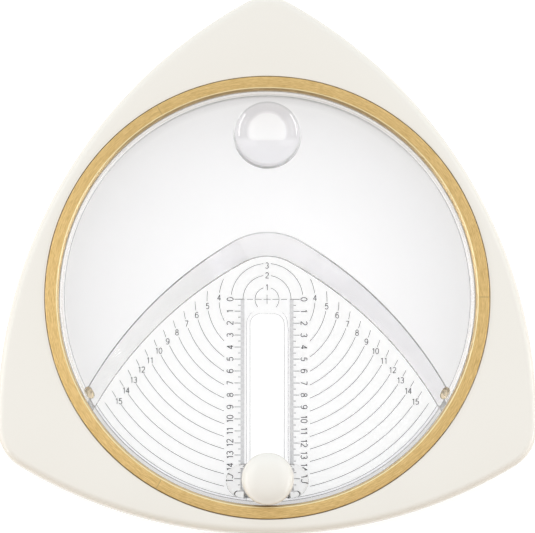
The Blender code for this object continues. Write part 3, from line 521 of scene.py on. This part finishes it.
discForm = {
    "radius": 86.2, "wall": 1.6, "sheet": 2.0, "floorSheet": 2.2, "floorLow": 1.0,
    "plateau": 13.0, "rimRun": 2.0, "rimDrop": 1.2, "flange": 90.7, "flangeTop": 9.1,
    "flangeLow": 7.3, "stub": 0.6, "lip": 0.3,
    "footApex": 17.8, "footApexRadius": 20.0, "footBow": 161.5, "footTurn": 28.9,
    "browApex": 26.5, "browApexRadius": 27.4, "browBow": 165.4, "browTurn": 30.5,
    "sideSweep": 44.0, "sideSteps": 96, "crownSteps": 64, "facet": 0.3,
    "browFacet": 0.55, "facetSlope": 0.15, "footGrow": 0.1, "browGrow": 0.7, "wallBend": 1.3,
    "softRim": 0.6, "softTop": 0.5, "softNeck": 0.2, "soft": 0.3, "over": 1.0, "sharp": 20,
}
dimpleForm = {
    "radius": 13.5, "depth": 5.6, "back": 68.0, "facet": 0.3, "steps": 128, "capSteps": 32,
}
slotForm = {
    "half": 7.0, "start": 6.1, "end": 83.0, "corner": 4.5, "rail": 1.7, "railTop": 6.0,
    "pitch": 0.5, "tooth": 0.3, "teethFrom": 12.0, "rebateHalf": 10.0, "rebateTop": 2.1,
    "facet": 0.25, "rebateMore": 0.3,
}


def arcPoints(centre, radius, start, end, count):
    # points on a circle: the centre plus (r cos t, r sin t)
    turn = np.linspace(start, end, count + 1)
    return np.stack([centre[0] + radius * np.cos(turn), centre[1] + radius * np.sin(turn)], axis=-1)


def rampOutline(edge, grow):
    # a round crown and a bowed side, mirrored, and closed far in front. They touch, because
    # the bow's centre lies the difference of their radii beyond the crown's, in line with the
    # point where they meet.
    form = discForm
    apex, crownRadius = form[edge + "Apex"], form[edge + "ApexRadius"]
    bow, turn = form[edge + "Bow"], math.radians(form[edge + "Turn"])
    start = math.pi / 2 - turn
    tip = np.array([0.0, apex - crownRadius])
    bend = tip - (bow - crownRadius) * np.array([math.cos(start), math.sin(start)])
    side = arcPoints(
        bend, bow + grow, start - math.radians(form["sideSweep"]), start, form["sideSteps"])
    crown = arcPoints(tip, crownRadius + grow, start, math.pi - start, form["crownSteps"])
    front = [[side[0][0], -2 * form["radius"]]]
    half = np.concatenate([front, side, crown[1:-1]])
    mirrored = np.concatenate([side[::-1], front]) * (-1, 1)
    return np.concatenate([half, mirrored])


# Tints of the disc's faces, the places where they change, in mm, and how far faces lean. The
# tints are painted light and shade: dark lines and grey bands stand in for the shade that
# refraction gives at edges, the rim's outer edge and the dimple's cap carry painted highlights,
# and the ramp's limbs are painted lighter and darker
facetTints = {
    "foot": (0.05, 0.05, 0.055), "browSide": (0.01, 0.01, 0.012), "browApex": (0.35, 0.35, 0.36),
    "rampApex": (0.86, 0.86, 0.885), "rampLeft": (1.03, 1.025, 1.095),
    "rampRight": (0.935, 0.925, 0.97),
    "wallTop": (0.47, 0.455, 0.44), "wallLine": (0.03, 0.03, 0.035), "wallBend": (0.80, 0.79, 0.84),
    "rimLine": (0.20, 0.20, 0.21), "rimBack": (0.45, 0.45, 0.46), "rimHighlight": (1.25, 1.25, 1.25),
    "rail": (0.12, 0.12, 0.13), "dimpleLip": (0.42, 0.42, 0.43), "dimpleRing": (0.47, 0.46, 0.48),
    "dimpleCapHighlight": (1.04, 1.04, 1.04), "dimpleLow": (0.65, 0.64, 0.665),
}
tintPlaces = {
    "near": 0.05, "steep": 0.1, "level": 0.995, "flat": 0.9, "upright": 0.999,
    "apexReach": 38.0, "bendRise": 1.4, "lineRise": 0.06, "rimIn": 83.9, "rimOut": 84.5,
    "rimLow": 12.6, "backShare": 0.55, "edgeLow": 11.5, "railReach": 10.0,
    "lipReach": 0.5, "lipDrop": 0.3, "capIn": 0.48, "capOut": 0.66, "capBack": 0.13,
    "frontFrom": -0.20, "frontTo": -0.02,
}


def smoothStep(low, high, value):
    # 0 below low, 1 above high, and 3 s^2 - 2 s^3 between them
    share = np.clip((value - low) / (high - low), 0, 1)[:, None]
    return share * share * (3 - 2 * share)


def tintFacets(disc):
    # one tint for each face, painted light and shade, by where its middle lies and how far it leans
    form, tint, at = discForm, facetTints, tintPlaces
    count = len(disc.data.polygons)
    middle, normal = np.empty(count * 3), np.empty(count * 3)
    disc.data.polygons.foreach_get("center", middle)
    disc.data.polygons.foreach_get("normal", normal)
    x, y, z = (middle.reshape(-1, 3) / mm - (*axis, 0)).T
    lean = normal.reshape(-1, 3)[:, 2]
    radius = np.hypot(x, y)
    facet, wall, bend = form["facet"], form["radius"] - form["wall"], form["wallBend"]
    floorTop, top = form["floorLow"] + form["floorSheet"], form["plateau"]
    lip = form["flangeTop"] + form["lip"]
    bowl = np.hypot(x, y - dimpleForm["back"])
    sloped = (lean > at["steep"]) & (lean < at["level"])
    onRamp = sloped & (radius < wall - bend - at["near"])
    atBend = sloped & (radius > wall - bend) & (radius < wall)
    atRim = (radius > at["rimIn"]) & (radius < at["rimOut"]) & (z > at["rimLow"])
    atRim &= (lean < at["upright"]) & (lean > 0)
    atEdge = (radius > at["rimOut"]) & (radius < form["radius"]) & (z > at["edgeLow"])
    atRail = (abs(z - slotForm["railTop"]) < slotForm["facet"]) & (abs(x) < at["railReach"])
    atLip = (abs(bowl - dimpleForm["radius"]) < at["lipReach"]) & (z > top - at["lipDrop"])
    # painted shade: dark lines at the ramp's foot, the wall and the rim, on the rails and round the
    # dimple's lip, grey on the wall's top and bend; a painted highlight on the rim's outer edge
    rules = [
        (onRamp & (z < floorTop + facet), "foot"),
        (atBend & (z < floorTop + at["bendRise"]), "wallBend"),
        (atBend & (z < floorTop + at["lineRise"]), "wallLine"),
        (sloped & (radius > wall) & (z > lip - facet) & (z < lip), "wallLine"),
        ((lean > at["flat"]) & (radius > wall) & (abs(z - lip) < at["near"]), "wallTop"),
        (atRim, "rimLine"),
        (atRim & (y > at["backShare"] * radius), "rimBack"),
        (atEdge & (lean > at["steep"]), "rimHighlight"),
        (onRamp & atRail, "rail"),
        (sloped & atLip, "dimpleLip"),
    ]
    colours = np.ones((count, 4))
    # painted light and shade on the ramp: darker at the apex and on the right limb, lighter and a
    # little lavender on the left
    side, right = (smoothStep(0, at["apexReach"], reach) for reach in (abs(x), x))
    apex, left = 1 - side, side - right
    slope = apex * tint["rampApex"] + left * tint["rampLeft"] + right * tint["rampRight"]
    colours[onRamp, :3] = slope[onRamp]
    for mask, name in rules:
        colours[mask, :3] = tint[name]
    # a painted dark line along the brow, paler at the apex
    isBrow = onRamp & (z > top - form["browFacet"]) & (bowl > 2 * dimpleForm["radius"])
    line = side * tint["browSide"] + apex * tint["browApex"]
    colours[isBrow, :3] = line[isBrow]
    # dimple: a painted highlight as a light cap behind the middle, and painted shade as a darker
    # ring round it and a grey front
    u, v = x / dimpleForm["radius"], (y - dimpleForm["back"]) / dimpleForm["radius"]
    cap = 1 - smoothStep(at["capIn"], at["capOut"], np.hypot(u, v - at["capBack"]))
    low = 1 - smoothStep(at["frontFrom"], at["frontTo"], v)
    shade = (1 - low) * tint["dimpleRing"] + low * tint["dimpleLow"]
    shade = (1 - low) * (cap * tint["dimpleCapHighlight"] + (1 - cap) * shade) + low * shade
    inBowl = (bowl < dimpleForm["radius"]) & (lean > 0) & (z < top - at["near"])
    colours[inBowl, :3] = shade[inBowl]
    layer = disc.data.attributes.new("tint", "FLOAT_COLOR", "FACE")
    layer.data.foreach_set("color", colours.ravel())


def makeClearDisc():
    # a turned body from which the spaces over the low sector and under the plateau are cut
    form = discForm
    radius, wall, sheet, top, low, soft, over = pick(
        form, "radius wall sheet plateau floorLow soft over")
    flange, flangeTop, flangeLow, facet, bend = pick(
        form, "flange flangeTop flangeLow facet wallBend")
    inside, floorTop = radius - wall, low + form["floorSheet"]
    rise, run = top - floorTop, form["browApex"] - form["footApex"]
    profile = roundCorners([
        (0, top, 0), (radius - form["rimRun"], top, form["softRim"]),
        (radius, top - form["rimDrop"], form["softTop"]), (radius, flangeTop, form["softNeck"]),
        (flange, flangeTop, soft), (flange, flangeLow, soft), (radius, flangeLow, 0),
        (radius, low, soft), (0, low, 0)])
    disc = turned("clearDisc", profile)

    # the open space over the low sector, from the wall to the ramp with its gentler facets
    near, far = facet / run, form["browFacet"] / run
    foot, brow = rampOutline("foot", form["footGrow"]), rampOutline("brow", form["browGrow"])
    above = rampOutline("brow", form["browGrow"] + over * run / rise)
    nearFoot = foot * (1 - near) + brow * near
    nearBrow = foot * far + brow * (1 - far)
    space = lofted("space", [
        raised(foot, floorTop), raised(nearFoot, floorTop + rise * near * form["facetSlope"]),
        raised(nearBrow, top - rise * far * form["facetSlope"]), raised(brow, top),
        raised(above, top + over)])
    lip = flangeTop + form["lip"]
    hollowRim = roundCorners([
        (inside + facet, lip, 0), (inside, lip - facet, 0), (inside, floorTop, bend),
        (inside - 2 * bend, floorTop, 0)])
    reach = turned("reach", np.concatenate([
        [(0, top + 2 * over), (radius + over, top + 2 * over), (radius + over, lip)],
        hollowRim[:-1], [(inside - bend, 0), (0, 0)]]))
    combine(space, reach, "INTERSECT")
    combine(disc, space, "DIFFERENCE")

    # the space under the plateau and the ramp, which keep the thickness of the sheet
    roof, below = top - sheet, flangeLow - form["stub"]
    block = lofted("block", [
        raised(foot, -over), raised(foot, low), raised(brow, roof), raised(above, roof + over)])
    under = turned("under", [
        (0, roof), (inside, roof), (inside, below), (flange, below), (flange, 0), (0, 0)])
    combine(under, block, "DIFFERENCE")
    combine(disc, under, "DIFFERENCE")

    # dimple: a cap of a ball of radius (mouth^2 + depth^2) / (2 depth), and a larger one below
    depth, mouth, steps, blunt = pick(dimpleForm, "depth radius steps facet")
    ball = (mouth ** 2 + depth ** 2) / (2 * depth)
    centre = top - depth + ball
    spot = axis + (0, dimpleForm["back"])

    def cap(size, height):
        turn = np.linspace(math.acos((centre - height) / size), 0, dimpleForm["capSteps"] + 1)
        return np.stack([size * np.sin(turn), centre - size * np.cos(turn)], axis=-1)

    inSheet = top - sheet / 2
    cup = np.concatenate([[(0, inSheet)], cap(ball + sheet, inSheet)])
    combine(disc, turned("cup", cup, steps, spot), "UNION")
    bowl = np.concatenate([
        [(0, top + over), (mouth + blunt, top + over), (mouth + blunt, top)],
        cap(ball, top - blunt / 2)])
    combine(disc, turned("bowl", bowl, steps, spot), "DIFFERENCE")

    # rails with click teeth, a triangle for each pitch of the right one, slot and rebate
    half, start, end, corner, rail, railTop, blunt = pick(
        slotForm, "half start end corner rail railTop facet")
    pitch, tooth, teethFrom, rebateHalf, rebateMore = pick(
        slotForm, "pitch tooth teethFrom rebateHalf rebateMore")
    outer, back, front = half + rail, -(start - rail), -(radius - wall / 2)
    frameOut = roundCorners([
        (outer, back, corner + rail), (-outer, back, corner + rail), (-outer, front, 0),
        (outer, front, 0)], closed=True)
    count = int((end - teethFrom) / pitch)
    roots = -teethFrom - pitch * np.arange(count, 0, -1)
    teeth = np.stack([
        np.stack([np.full(count, outer), roots], axis=-1),
        np.stack([np.full(count, outer + tooth), roots + pitch / 2], axis=-1)],
        axis=1).reshape(-1, 2)
    railLine = np.concatenate([frameOut, teeth, [(outer, -teethFrom)]])
    middle = np.array([[0.0, (front + back) / 2]])
    rails = lofted("rails", [
        raised(railLine, floorTop - form["floorSheet"] / 3), raised(railLine, railTop - blunt),
        raised((railLine - middle) * (1 - blunt / outer, 1) + middle, railTop)])
    combine(disc, rails, "UNION")
    hole = roundCorners([
        (half, -start, corner), (-half, -start, corner), (-half, -end, corner),
        (half, -end, corner)], closed=True)
    flare = 1 + (blunt + over) / half
    hollow = lofted("hole", [
        raised(hole, 0), raised(hole, railTop - blunt), raised(hole * (flare, 1), railTop + over)])
    combine(disc, hollow, "DIFFERENCE")
    side, ends = rebateHalf, (-end - rebateMore, -start + rebateMore)
    rebate = [(side, ends[0]), (side, ends[1]), (-side, ends[1]), (-side, ends[0])]
    combine(disc, slab("rebate", rebate, 0, slotForm["rebateTop"]), "DIFFERENCE")
    smoothShade(disc, form["sharp"])
    tintFacets(disc)
    dress(disc, clear, "turntable", "turntable_disc", slot="clear_polystyrene")


makeClearDisc()
print("clear disc made")


# Printed scale on the low sector: arcs, a ruler on each side of the slot, and numbers

printForm = {
    "unit": 5.0, "arcs": 16, "line": 0.24, "lift": 0.02, "digit": 2.7, "arcDigit": 2.45,
    "pen": 0.38, "arcPen": 0.33, "advance": 0.62, "barFrom": 9.4, "barTo": 11.05, "halfTick": 12.1,
    "unitTick": 13.6, "numbers": 15.4, "arcEnd": 17.8, "startIn": 2.6, "labelIn": 7.0,
    "nearStarts": {4: 1.5, 5: 2.0, 6: 2.3, 7: 2.5, 14: 2.45, 15: 2.35},
    "nearLabel": 7.25, "nearLabels": range(6, 12), "gapTop": 1.5, "gap": 1.93,
    "tick": 0.27, "barTick": 0.36, "step": 0.8, "innerArcs": 3, "oneEnd": -42, "threeEnd": 1.9,
    "threeDrop": 0.85, "ticks": 10, "dash": 2.6, "pause": 1.0, "dashFrom": 2.2, "dashes": 4,
    "cross": (1.5, 2.0),
}


def ribbon(path, width):
    # a path widened to both sides, square to its own direction
    path = np.asarray(path, float)
    along = np.gradient(path, axis=0)
    along /= np.linalg.norm(along, axis=1, keepdims=True)
    across = np.stack([-along[:, 1], along[:, 0]], axis=-1) * width / 2
    points = np.stack([path - across, path + across], axis=1).reshape(-1, 2)
    index = 2 * np.arange(len(path) - 1)[:, None]
    faces = np.concatenate([index + (0, 2, 1), index + (1, 2, 3)])
    return points, faces


def strokeArc(radius, start, end):
    # an arc drawn with the pen, a point for each step of its length
    count = max(2, int(abs(end - start) * radius / printForm["step"]))
    return ribbon(arcPoints((0, 0), radius, start, end, count), printForm["line"])


def oval(x, y, wide, high, start, end, count=14):
    # part of an ellipse: the centre plus (wide cos t, high sin t)
    turn = np.radians(np.linspace(start, end, count))
    return np.stack([x + wide * np.cos(turn), y + high * np.sin(turn)], axis=-1)


# each digit as pen strokes in a box one unit high
digitStrokes = {
    "0": [oval(0, 0, 0.26, 0.48, 0, 360, 20)],
    "1": [[(-0.17, 0.27), (0.04, 0.46)], [(0.05, 0.5), (0.05, -0.5)]],
    "2": [np.concatenate([oval(0, 0.22, 0.25, 0.26, 165, -30), [(-0.24, -0.44)]]),
          [(-0.28, -0.46), (0.28, -0.46)]],
    "3": [oval(-0.02, 0.24, 0.23, 0.24, 150, -90), oval(-0.02, -0.23, 0.26, 0.25, 90, -155)],
    "4": [[(0.12, 0.5), (0.12, -0.5)], [(0.12, 0.46), (-0.26, -0.2)],
          [(-0.3, -0.22), (0.3, -0.22)]],
    "5": [[(-0.18, 0.46), (0.24, 0.46)], [(-0.15, 0.48), (-0.21, 0.0)],
          oval(-0.01, -0.17, 0.26, 0.31, 135, -150)],
    "6": [np.concatenate([
        oval(0.03, 0.0, 0.29, 0.48, 50, 175), oval(0, -0.18, 0.26, 0.3, 180, -180)])],
    "7": [[(-0.26, 0.46), (0.27, 0.46)], [(0.24, 0.44), (-0.08, -0.5)]],
    "8": [oval(0, 0.24, 0.21, 0.23, 0, 360, 16), oval(0, -0.23, 0.26, 0.25, 0, 360, 16)],
}
digitStrokes["9"] = [-stroke for stroke in digitStrokes["6"]]


def numberShape(number, height, pen):
    # the digits side by side, the middle of the number at the origin
    word = str(number)
    shapes = []
    for k, digit in enumerate(word):
        shift = (k - (len(word) - 1) / 2) * printForm["advance"]
        for stroke in digitStrokes[digit]:
            path = (np.asarray(stroke) + (shift, 0)) * height
            shapes.append(ribbon(path, pen))
    return joined(shapes)


def joined(shapes):
    # many shapes as one: each one's faces count on from the points before it
    starts = np.cumsum([0] + [len(points) for points, _ in shapes])
    points = np.concatenate([points for points, _ in shapes])
    return points, np.concatenate([faces + start for (_, faces), start in zip(shapes, starts)])


def placed(shape, where, turn=0.0):
    # (x cos a - y sin a, x sin a + y cos a), then moved to its place
    points, faces = shape
    c, s = math.cos(turn), math.sin(turn)
    return points @ np.array([[c, s], [-s, c]]) + where, faces


def footAngle(radius, inset):
    # where the arc of radius r meets the ramp's foot, moved in by inset: a circle of radius b,
    # f from the axis, crosses it acos((f^2 + r^2 - b^2) / (2 f r)) from the line of centres
    form = discForm
    start = math.pi / 2 - math.radians(form["footTurn"])
    tip = np.array([0.0, form["footApex"] - form["footApexRadius"]])
    reach = form["footBow"] - form["footApexRadius"]
    bend = tip - reach * np.array([math.cos(start), math.sin(start)])
    bow = form["footBow"] - inset
    far = np.linalg.norm(bend)
    turn = math.acos((far ** 2 + radius ** 2 - bow ** 2) / (2 * far * radius))
    return math.atan2(bend[1], bend[0]) + turn


goldReflectionForm = {
    "radius": 83.6, "angle": 208.4, "size": (1.6, 2.7, 1.3), "height": 10.9, "power": 0.8,
    "around": 32, "up": 16, "sharp": 60,
}


def makeTipLugs():
    # a painted reflection of the gold ring at each end of the ramp, not a part of the moulding: a
    # gold-tinted clear squared ball, whose reach along each axis goes by a power of the sine or
    # cosine of its two angles
    form = goldReflectionForm
    around, up = np.meshgrid(
        np.linspace(0, 2 * np.pi, form["around"] + 1),
        np.linspace(-np.pi / 2, np.pi / 2, form["up"] + 1))

    def bent(value):
        return np.sign(value) * np.abs(value) ** form["power"]

    ball = np.stack([
        bent(np.cos(up)) * bent(np.cos(around)), bent(np.cos(up)) * bent(np.sin(around)),
        bent(np.sin(up))], axis=-1) * form["size"]
    turn = math.radians(form["angle"])
    c, s = math.cos(turn), math.sin(turn)
    x, y, z = np.moveaxis(ball, -1, 0)
    spun = np.stack([x * c - y * s, x * s + y * c, z], axis=-1)
    left = spun + (form["radius"] * c, form["radius"] * s, form["height"])
    both = np.concatenate([left.reshape(-1, 3), (left * (-1, 1, 1)).reshape(-1, 3)])
    faces = gridFaces(*around.shape)
    piece = putMesh("paintedGoldReflections", both, np.concatenate([faces, faces + around.size]))
    closeSeams(piece, form["sharp"])
    dress(piece, glint, "turntable", slot="clear_polystyrene")


makeTipLugs()
print("ramp tips made")


def makePrint():
    # arcs one unit apart: the inner ones are numbered at the back, and the outer ones, from
    # the ramp's foot to the slot, on both sides
    form = printForm
    unit, arcs, inner, line, ticks, bar, unitTick = pick(
        form, "unit arcs innerArcs line ticks barTo unitTick")
    numbers = {n: numberShape(n, form["digit"], form["pen"]) for n in range(arcs)}
    labels = {n: numberShape(n, form["arcDigit"], form["arcPen"]) for n in range(arcs)}
    shapes, bars = [], []
    ends = (math.radians(form["oneEnd"]), 0.0, math.asin(form["threeEnd"] / (inner * unit)))
    for n, end in enumerate(ends, 1):
        radius = n * unit
        gap = form["gapTop"] / radius
        for start, stop in ((end, math.pi / 2 - gap), (math.pi / 2 + gap, math.pi - end)):
            shapes.append(strokeArc(radius, start, stop))
        drop = form["threeDrop"] if n == inner else 0.0
        shapes.append(placed(labels[n], (0.0, radius - drop)))
    for n in range(inner + 1, arcs + 1):
        radius = n * unit
        first = footAngle(radius, form["nearStarts"].get(n, form["startIn"]))
        last = -math.acos(form["arcEnd"] / radius)
        label = footAngle(radius, form["nearLabel"] if n in form["nearLabels"] else form["labelIn"])
        gap = form["gap"] / radius
        spans = [(first, label + gap), (label - gap, last)] if n < arcs else [(first, last)]
        for side in (1, -1):
            for a, b in spans:
                if side < 0:
                    a, b = math.pi - a, math.pi - b
                shapes.append(strokeArc(radius, a, b))
            if n < arcs:
                spot = radius * np.array([side * math.cos(label), math.sin(label)])
                shapes.append(placed(labels[n], spot))
    # the rulers: a bar at each tick, a longer tick at each half unit and unit, and numbers
    for side in (1, -1):
        for k in range(ticks * arcs + 1):
            y = -k * unit / ticks
            bars.append(ribbon([(side * form["barFrom"], y), (side * bar, y)], form["barTick"]))
            if k % (ticks // 2) == 0:
                end = unitTick if k % ticks == 0 else form["halfTick"]
                shapes.append(ribbon([(side * bar, y), (side * end, y)], form["tick"]))
        for n in range(arcs):
            spot = (side * form["numbers"], -n * unit)
            shapes.append(placed(numbers[n], spot, -side * math.pi / 2))
    # a dashed line and a cross through the axis
    for side in (1, -1):
        for k in range(form["dashes"]):
            low = form["dashFrom"] + k * (form["dash"] + form["pause"])
            high = min(low + form["dash"], unitTick)
            shapes.append(ribbon([(side * low, 0), (side * high, 0)], line))
    wide, high = form["cross"]
    shapes.append(ribbon([(-wide, 0), (wide, 0)], line))
    shapes.append(ribbon([(0, -high), (0, high)], line))
    height = discForm["floorLow"] + discForm["floorSheet"] + form["lift"]
    for name, parts, mat in (("scalePrint", shapes, ink), ("scaleBars", bars, paleInk)):
        points, faces = joined(parts)
        dress(putMesh(name, raised(points, height), faces), mat, "turntable")


makePrint()
print("scale printed")


# Saddle: a clear slide with a softly rounded top, a channel over the rails and a tower

saddleForm = {
    "half": 17.2, "round": 7.2, "edge": 2.2, "roof": 6.3, "top": 8.8, "tower": 7.2,
    "towerBore": 4.1, "channel": 9.3, "plunger": 2.7, "hem": 0.3, "hemDraft": 0.4, "sunk": 0.7,
    "over": 1.0, "towerFloor": 1.5, "towerSteps": 128, "boreSteps": 96,
}


def stadium(half, radius, steps=48):
    # two half circles joined by straight sides
    right = arcPoints((half - radius, 0), radius, -math.pi / 2, math.pi / 2, steps)
    left = arcPoints((radius - half, 0), radius, math.pi / 2, 1.5 * math.pi, steps)
    return np.concatenate([right, left])


def makeSaddle():
    # the outline drawn in along a rounded edge, from the hem to the flat top
    half, corner, top, edge, hem, draft, sunk, over = pick(
        saddleForm, "half round top edge hem hemDraft sunk over")
    tower, towerBore, towerFloor, roof, side, rod = pick(
        saddleForm, "tower towerBore towerFloor roof channel plunger")
    low, high = saddleLow[2], saddleHigh[2]
    profile = roundCorners([(0, low, hem), (0, top, edge), (-4 * edge, top, 0)])
    profile = np.concatenate([[(-draft, low)], profile[1:-1]])
    rings = [raised(stadium(half + grow, corner + grow), z) for grow, z in profile]
    saddle = lofted("saddlePiece", rings, carriage)
    post = [(0, high), (tower, high), (tower, top - sunk), (0, top - sunk)]
    combine(saddle, turned("tower", post, saddleForm["towerSteps"], carriage), "UNION")
    reach = 2 * corner
    channel = [(side, -reach), (side, reach), (-side, reach), (-side, -reach)]
    combine(saddle, slab("channel", channel, 0, roof, carriage), "DIFFERENCE")
    mouth, step = high + over, roof + towerFloor
    bore = [(0, mouth), (towerBore, mouth), (towerBore, step), (rod, step), (rod, 0), (0, 0)]
    combine(saddle, turned("bore", bore, saddleForm["boreSteps"], carriage), "DIFFERENCE")
    smoothShade(saddle)
    dress(saddle, clearSaddle, "carriage", "saddle", slot="clear_polystyrene")


makeSaddle()
print("saddle made")


# Knob: a squarish dome over a skirt that draws in, turned about the plunger

knobForm = {
    "radius": 10.8, "mouth": 9.0, "crown": 6.5, "squareness": 2.5, "bow": 1.3, "lip": 0.4,
    "cavity": 7.6, "roof": 19.1, "socket": 2.0, "socketTop": 23.4,
    "crownSteps": 48, "skirtSteps": 24, "steps": 192,
}


def makeKnob():
    # the crown is part of a superellipse, (r cos^p t, h sin^p t) with p = 2 / squareness, and
    # below it the skirt draws in by a power of the share of the way down
    radius, mouth, crown, bow, lip, squareness = pick(
        knobForm, "radius mouth crown bow lip squareness")
    cavity, roof, socket, socketTop, crownSteps, skirtSteps, steps = pick(
        knobForm, "cavity roof socket socketTop crownSteps skirtSteps steps")
    low, high = knobLow[2], knobHigh[2]
    widest, power = high - crown, 2 / squareness
    turn = np.linspace(np.pi / 2, 0, crownSteps + 1)
    dome = np.stack([
        radius * np.abs(np.cos(turn)) ** power, widest + crown * np.sin(turn) ** power], axis=-1)
    dome[0] = (0, high)
    share = np.linspace(0, 1, skirtSteps + 1)[1:-1]
    skirt = np.stack([
        radius - (radius - mouth) * share ** bow, widest - (widest - low) * share], axis=-1)
    hem = roundCorners([
        (*skirt[-1], 0), (mouth, low, lip), (cavity, low, lip), (cavity, roof, 0),
        (socket, roof, 0), (socket, socketTop, 0), (0, socketTop, 0)])
    outline = np.concatenate([dome, skirt[:-1], hem])
    piece = turned("knobPiece", outline, steps, carriage)
    dress(piece, creamKnob, "press_knob", "knob", slot="cream_abs")


makeKnob()
print("knob made")


# Return spring: round wire wound about the plunger, made here at one length; the real one shortens
# as the knob goes down

springForm = {
    "radius": 3.5, "wire": 0.3, "turns": 7, "steps": 48, "sides": 12, "press": 3.0, "sharp": 45,
}


def makeSpring():
    # the wire's middle is (r cos t, r sin t, z), where z rises evenly with t, and each ring
    # of the wire lies w cos s outwards and w sin s upwards from it
    radius, wire, turns, steps, sides, press = pick(
        springForm, "radius wire turns steps sides press")
    low, high = (corner[2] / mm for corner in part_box("return_spring"))
    count = turns * steps + 1
    turn = np.linspace(0, 2 * np.pi * turns, count)[:, None]
    climb = np.linspace(low + wire, high - wire, count)[:, None]
    around = np.linspace(0, 2 * np.pi, sides, endpoint=False)
    out = radius + wire * np.cos(around)
    rings = np.stack([
        out * np.cos(turn), out * np.sin(turn), climb + wire * np.sin(around)], axis=-1)
    spring = lofted("springCoil", rings, carriage, springForm["sharp"])
    dress(spring, steel, "carriage", "return_spring", slot="screw_steel")
    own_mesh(spring)


makeSpring()
print("return spring made")

repaint(cream, "frame_base")
repaint(rubber, "rubber_pad_1", "rubber_pad_2", "rubber_pad_3")
repaint(steel, *(f"base_screw_{k}" for k in range(1, 10)))
repaint(steel, "shoe_screw_1", "shoe_screw_2", "click_spring", "blade", "blade_screw")
repaint(acetal, "shoe", "plunger")
print("packed nodes painted")


# Camera, floor and lights

view = {
    "lens": 322.7, "sensor": 36.0, "distance": 2.0, "tilt": 6.26, "turn": -10.2,
    "target": (0.0002, -0.0003, 0.003), "clipEnd": 20.0,
}
studio = {
    "floor": 0.45, "glow": 0.695, "floorHalf": 6000.0, "floorLow": -0.02,
    "zenith": 0.80, "horizon": 0.44, "zenithAt": 0.8,
    "front": (0.42, 0.28, 0.14), "back": (1.58, 1.72, 1.86),
}
lamps = {  # place and size in metres, power in watts
    "leftBox": ((-1.1, 0.1, 0.9), (1.6, 1.0), 4.3),
    "rightBox": ((1.1, 0.1, 0.9), (1.6, 1.0), 3.5),
    "leftStrip": ((-1.2, -0.25, 0.30), (1.1, 0.10), 4.0),
    "rightStrip": ((1.2, -0.25, 0.30), (1.1, 0.10), 4.0),
}


def placeCamera():
    # it looks down, tilted from the upright and turned round it
    turn, tilt = math.radians(view["turn"]), math.radians(view["tilt"])
    lean = math.sin(tilt)
    back = Vector((math.sin(turn) * lean, -math.cos(turn) * lean, math.cos(tilt)))
    across = Vector((0.0, 1.0, 0.0)).cross(back).normalized()
    matrix = Matrix((across, back.cross(across), back)).transposed().to_4x4()
    matrix.translation = Vector(view["target"]) + back * view["distance"]
    data = bpy.data.cameras.new("camera")
    data.lens = view["lens"]
    data.sensor_width = view["sensor"]
    data.clip_end = view["clipEnd"]
    camera = bpy.data.objects.new("camera", data)
    camera.matrix_world = matrix
    scene.collection.objects.link(camera)
    scene.camera = camera


def makeFloor():
    # a wide square, a hair below the pads, so that their faces don't lie in one plane
    half, low = studio["floorHalf"], studio["floorLow"]
    corners = [(-half, -half, low), (half, -half, low), (half, half, low), (-half, half, low)]
    floor = putMesh("floor", corners, [[0, 1, 2, 3]])
    mat, _, shader = newMaterial("paleFloor", (studio["floor"],) * 3, 1.0)
    fill(shader, {
        "Specular IOR Level": 0.0, "Emission Color": (1.0, 1.0, 1.0, 1.0),
        "Emission Strength": studio["glow"]})
    floor.data.materials.append(mat)


def softLight(name, place, size, power):
    data = bpy.data.lights.new(name, "AREA")
    data.energy = power
    data.shape = "RECTANGLE"
    data.size, data.size_y = size
    lamp = bpy.data.objects.new(name, data)
    lamp.location = place
    lamp.rotation_euler = (-Vector(place)).to_track_quat("-Z", "Y").to_euler()
    scene.collection.objects.link(lamp)


def makeWorld():
    world = bpy.data.worlds.new("studio")
    world.use_nodes = True
    scene.world = world
    tree = world.node_tree
    shader = tree.nodes["Background"]
    direction = addNode(tree, "TexCoord").outputs["Generated"]
    parts = addNode(tree, "SeparateXYZ", {0: direction}).outputs
    # the sky brightens upwards, and from a dim warm front to a bright back
    back = spread(tree, parts["Y"], 0.0, 1.0, -1.0, 1.0)
    up = spread(tree, parts["Z"], studio["horizon"], studio["zenith"], 0.0, studio["zenithAt"])
    fill(shader, {
        "Color": mixOf(tree, back, studio["front"], studio["back"]), "Strength": up})
    scene.view_settings.view_transform = "Standard"


placeCamera()
makeFloor()
makeWorld()
for name, lamp in lamps.items():
    softLight(name, *lamp)
print("camera, floor and lights placed")
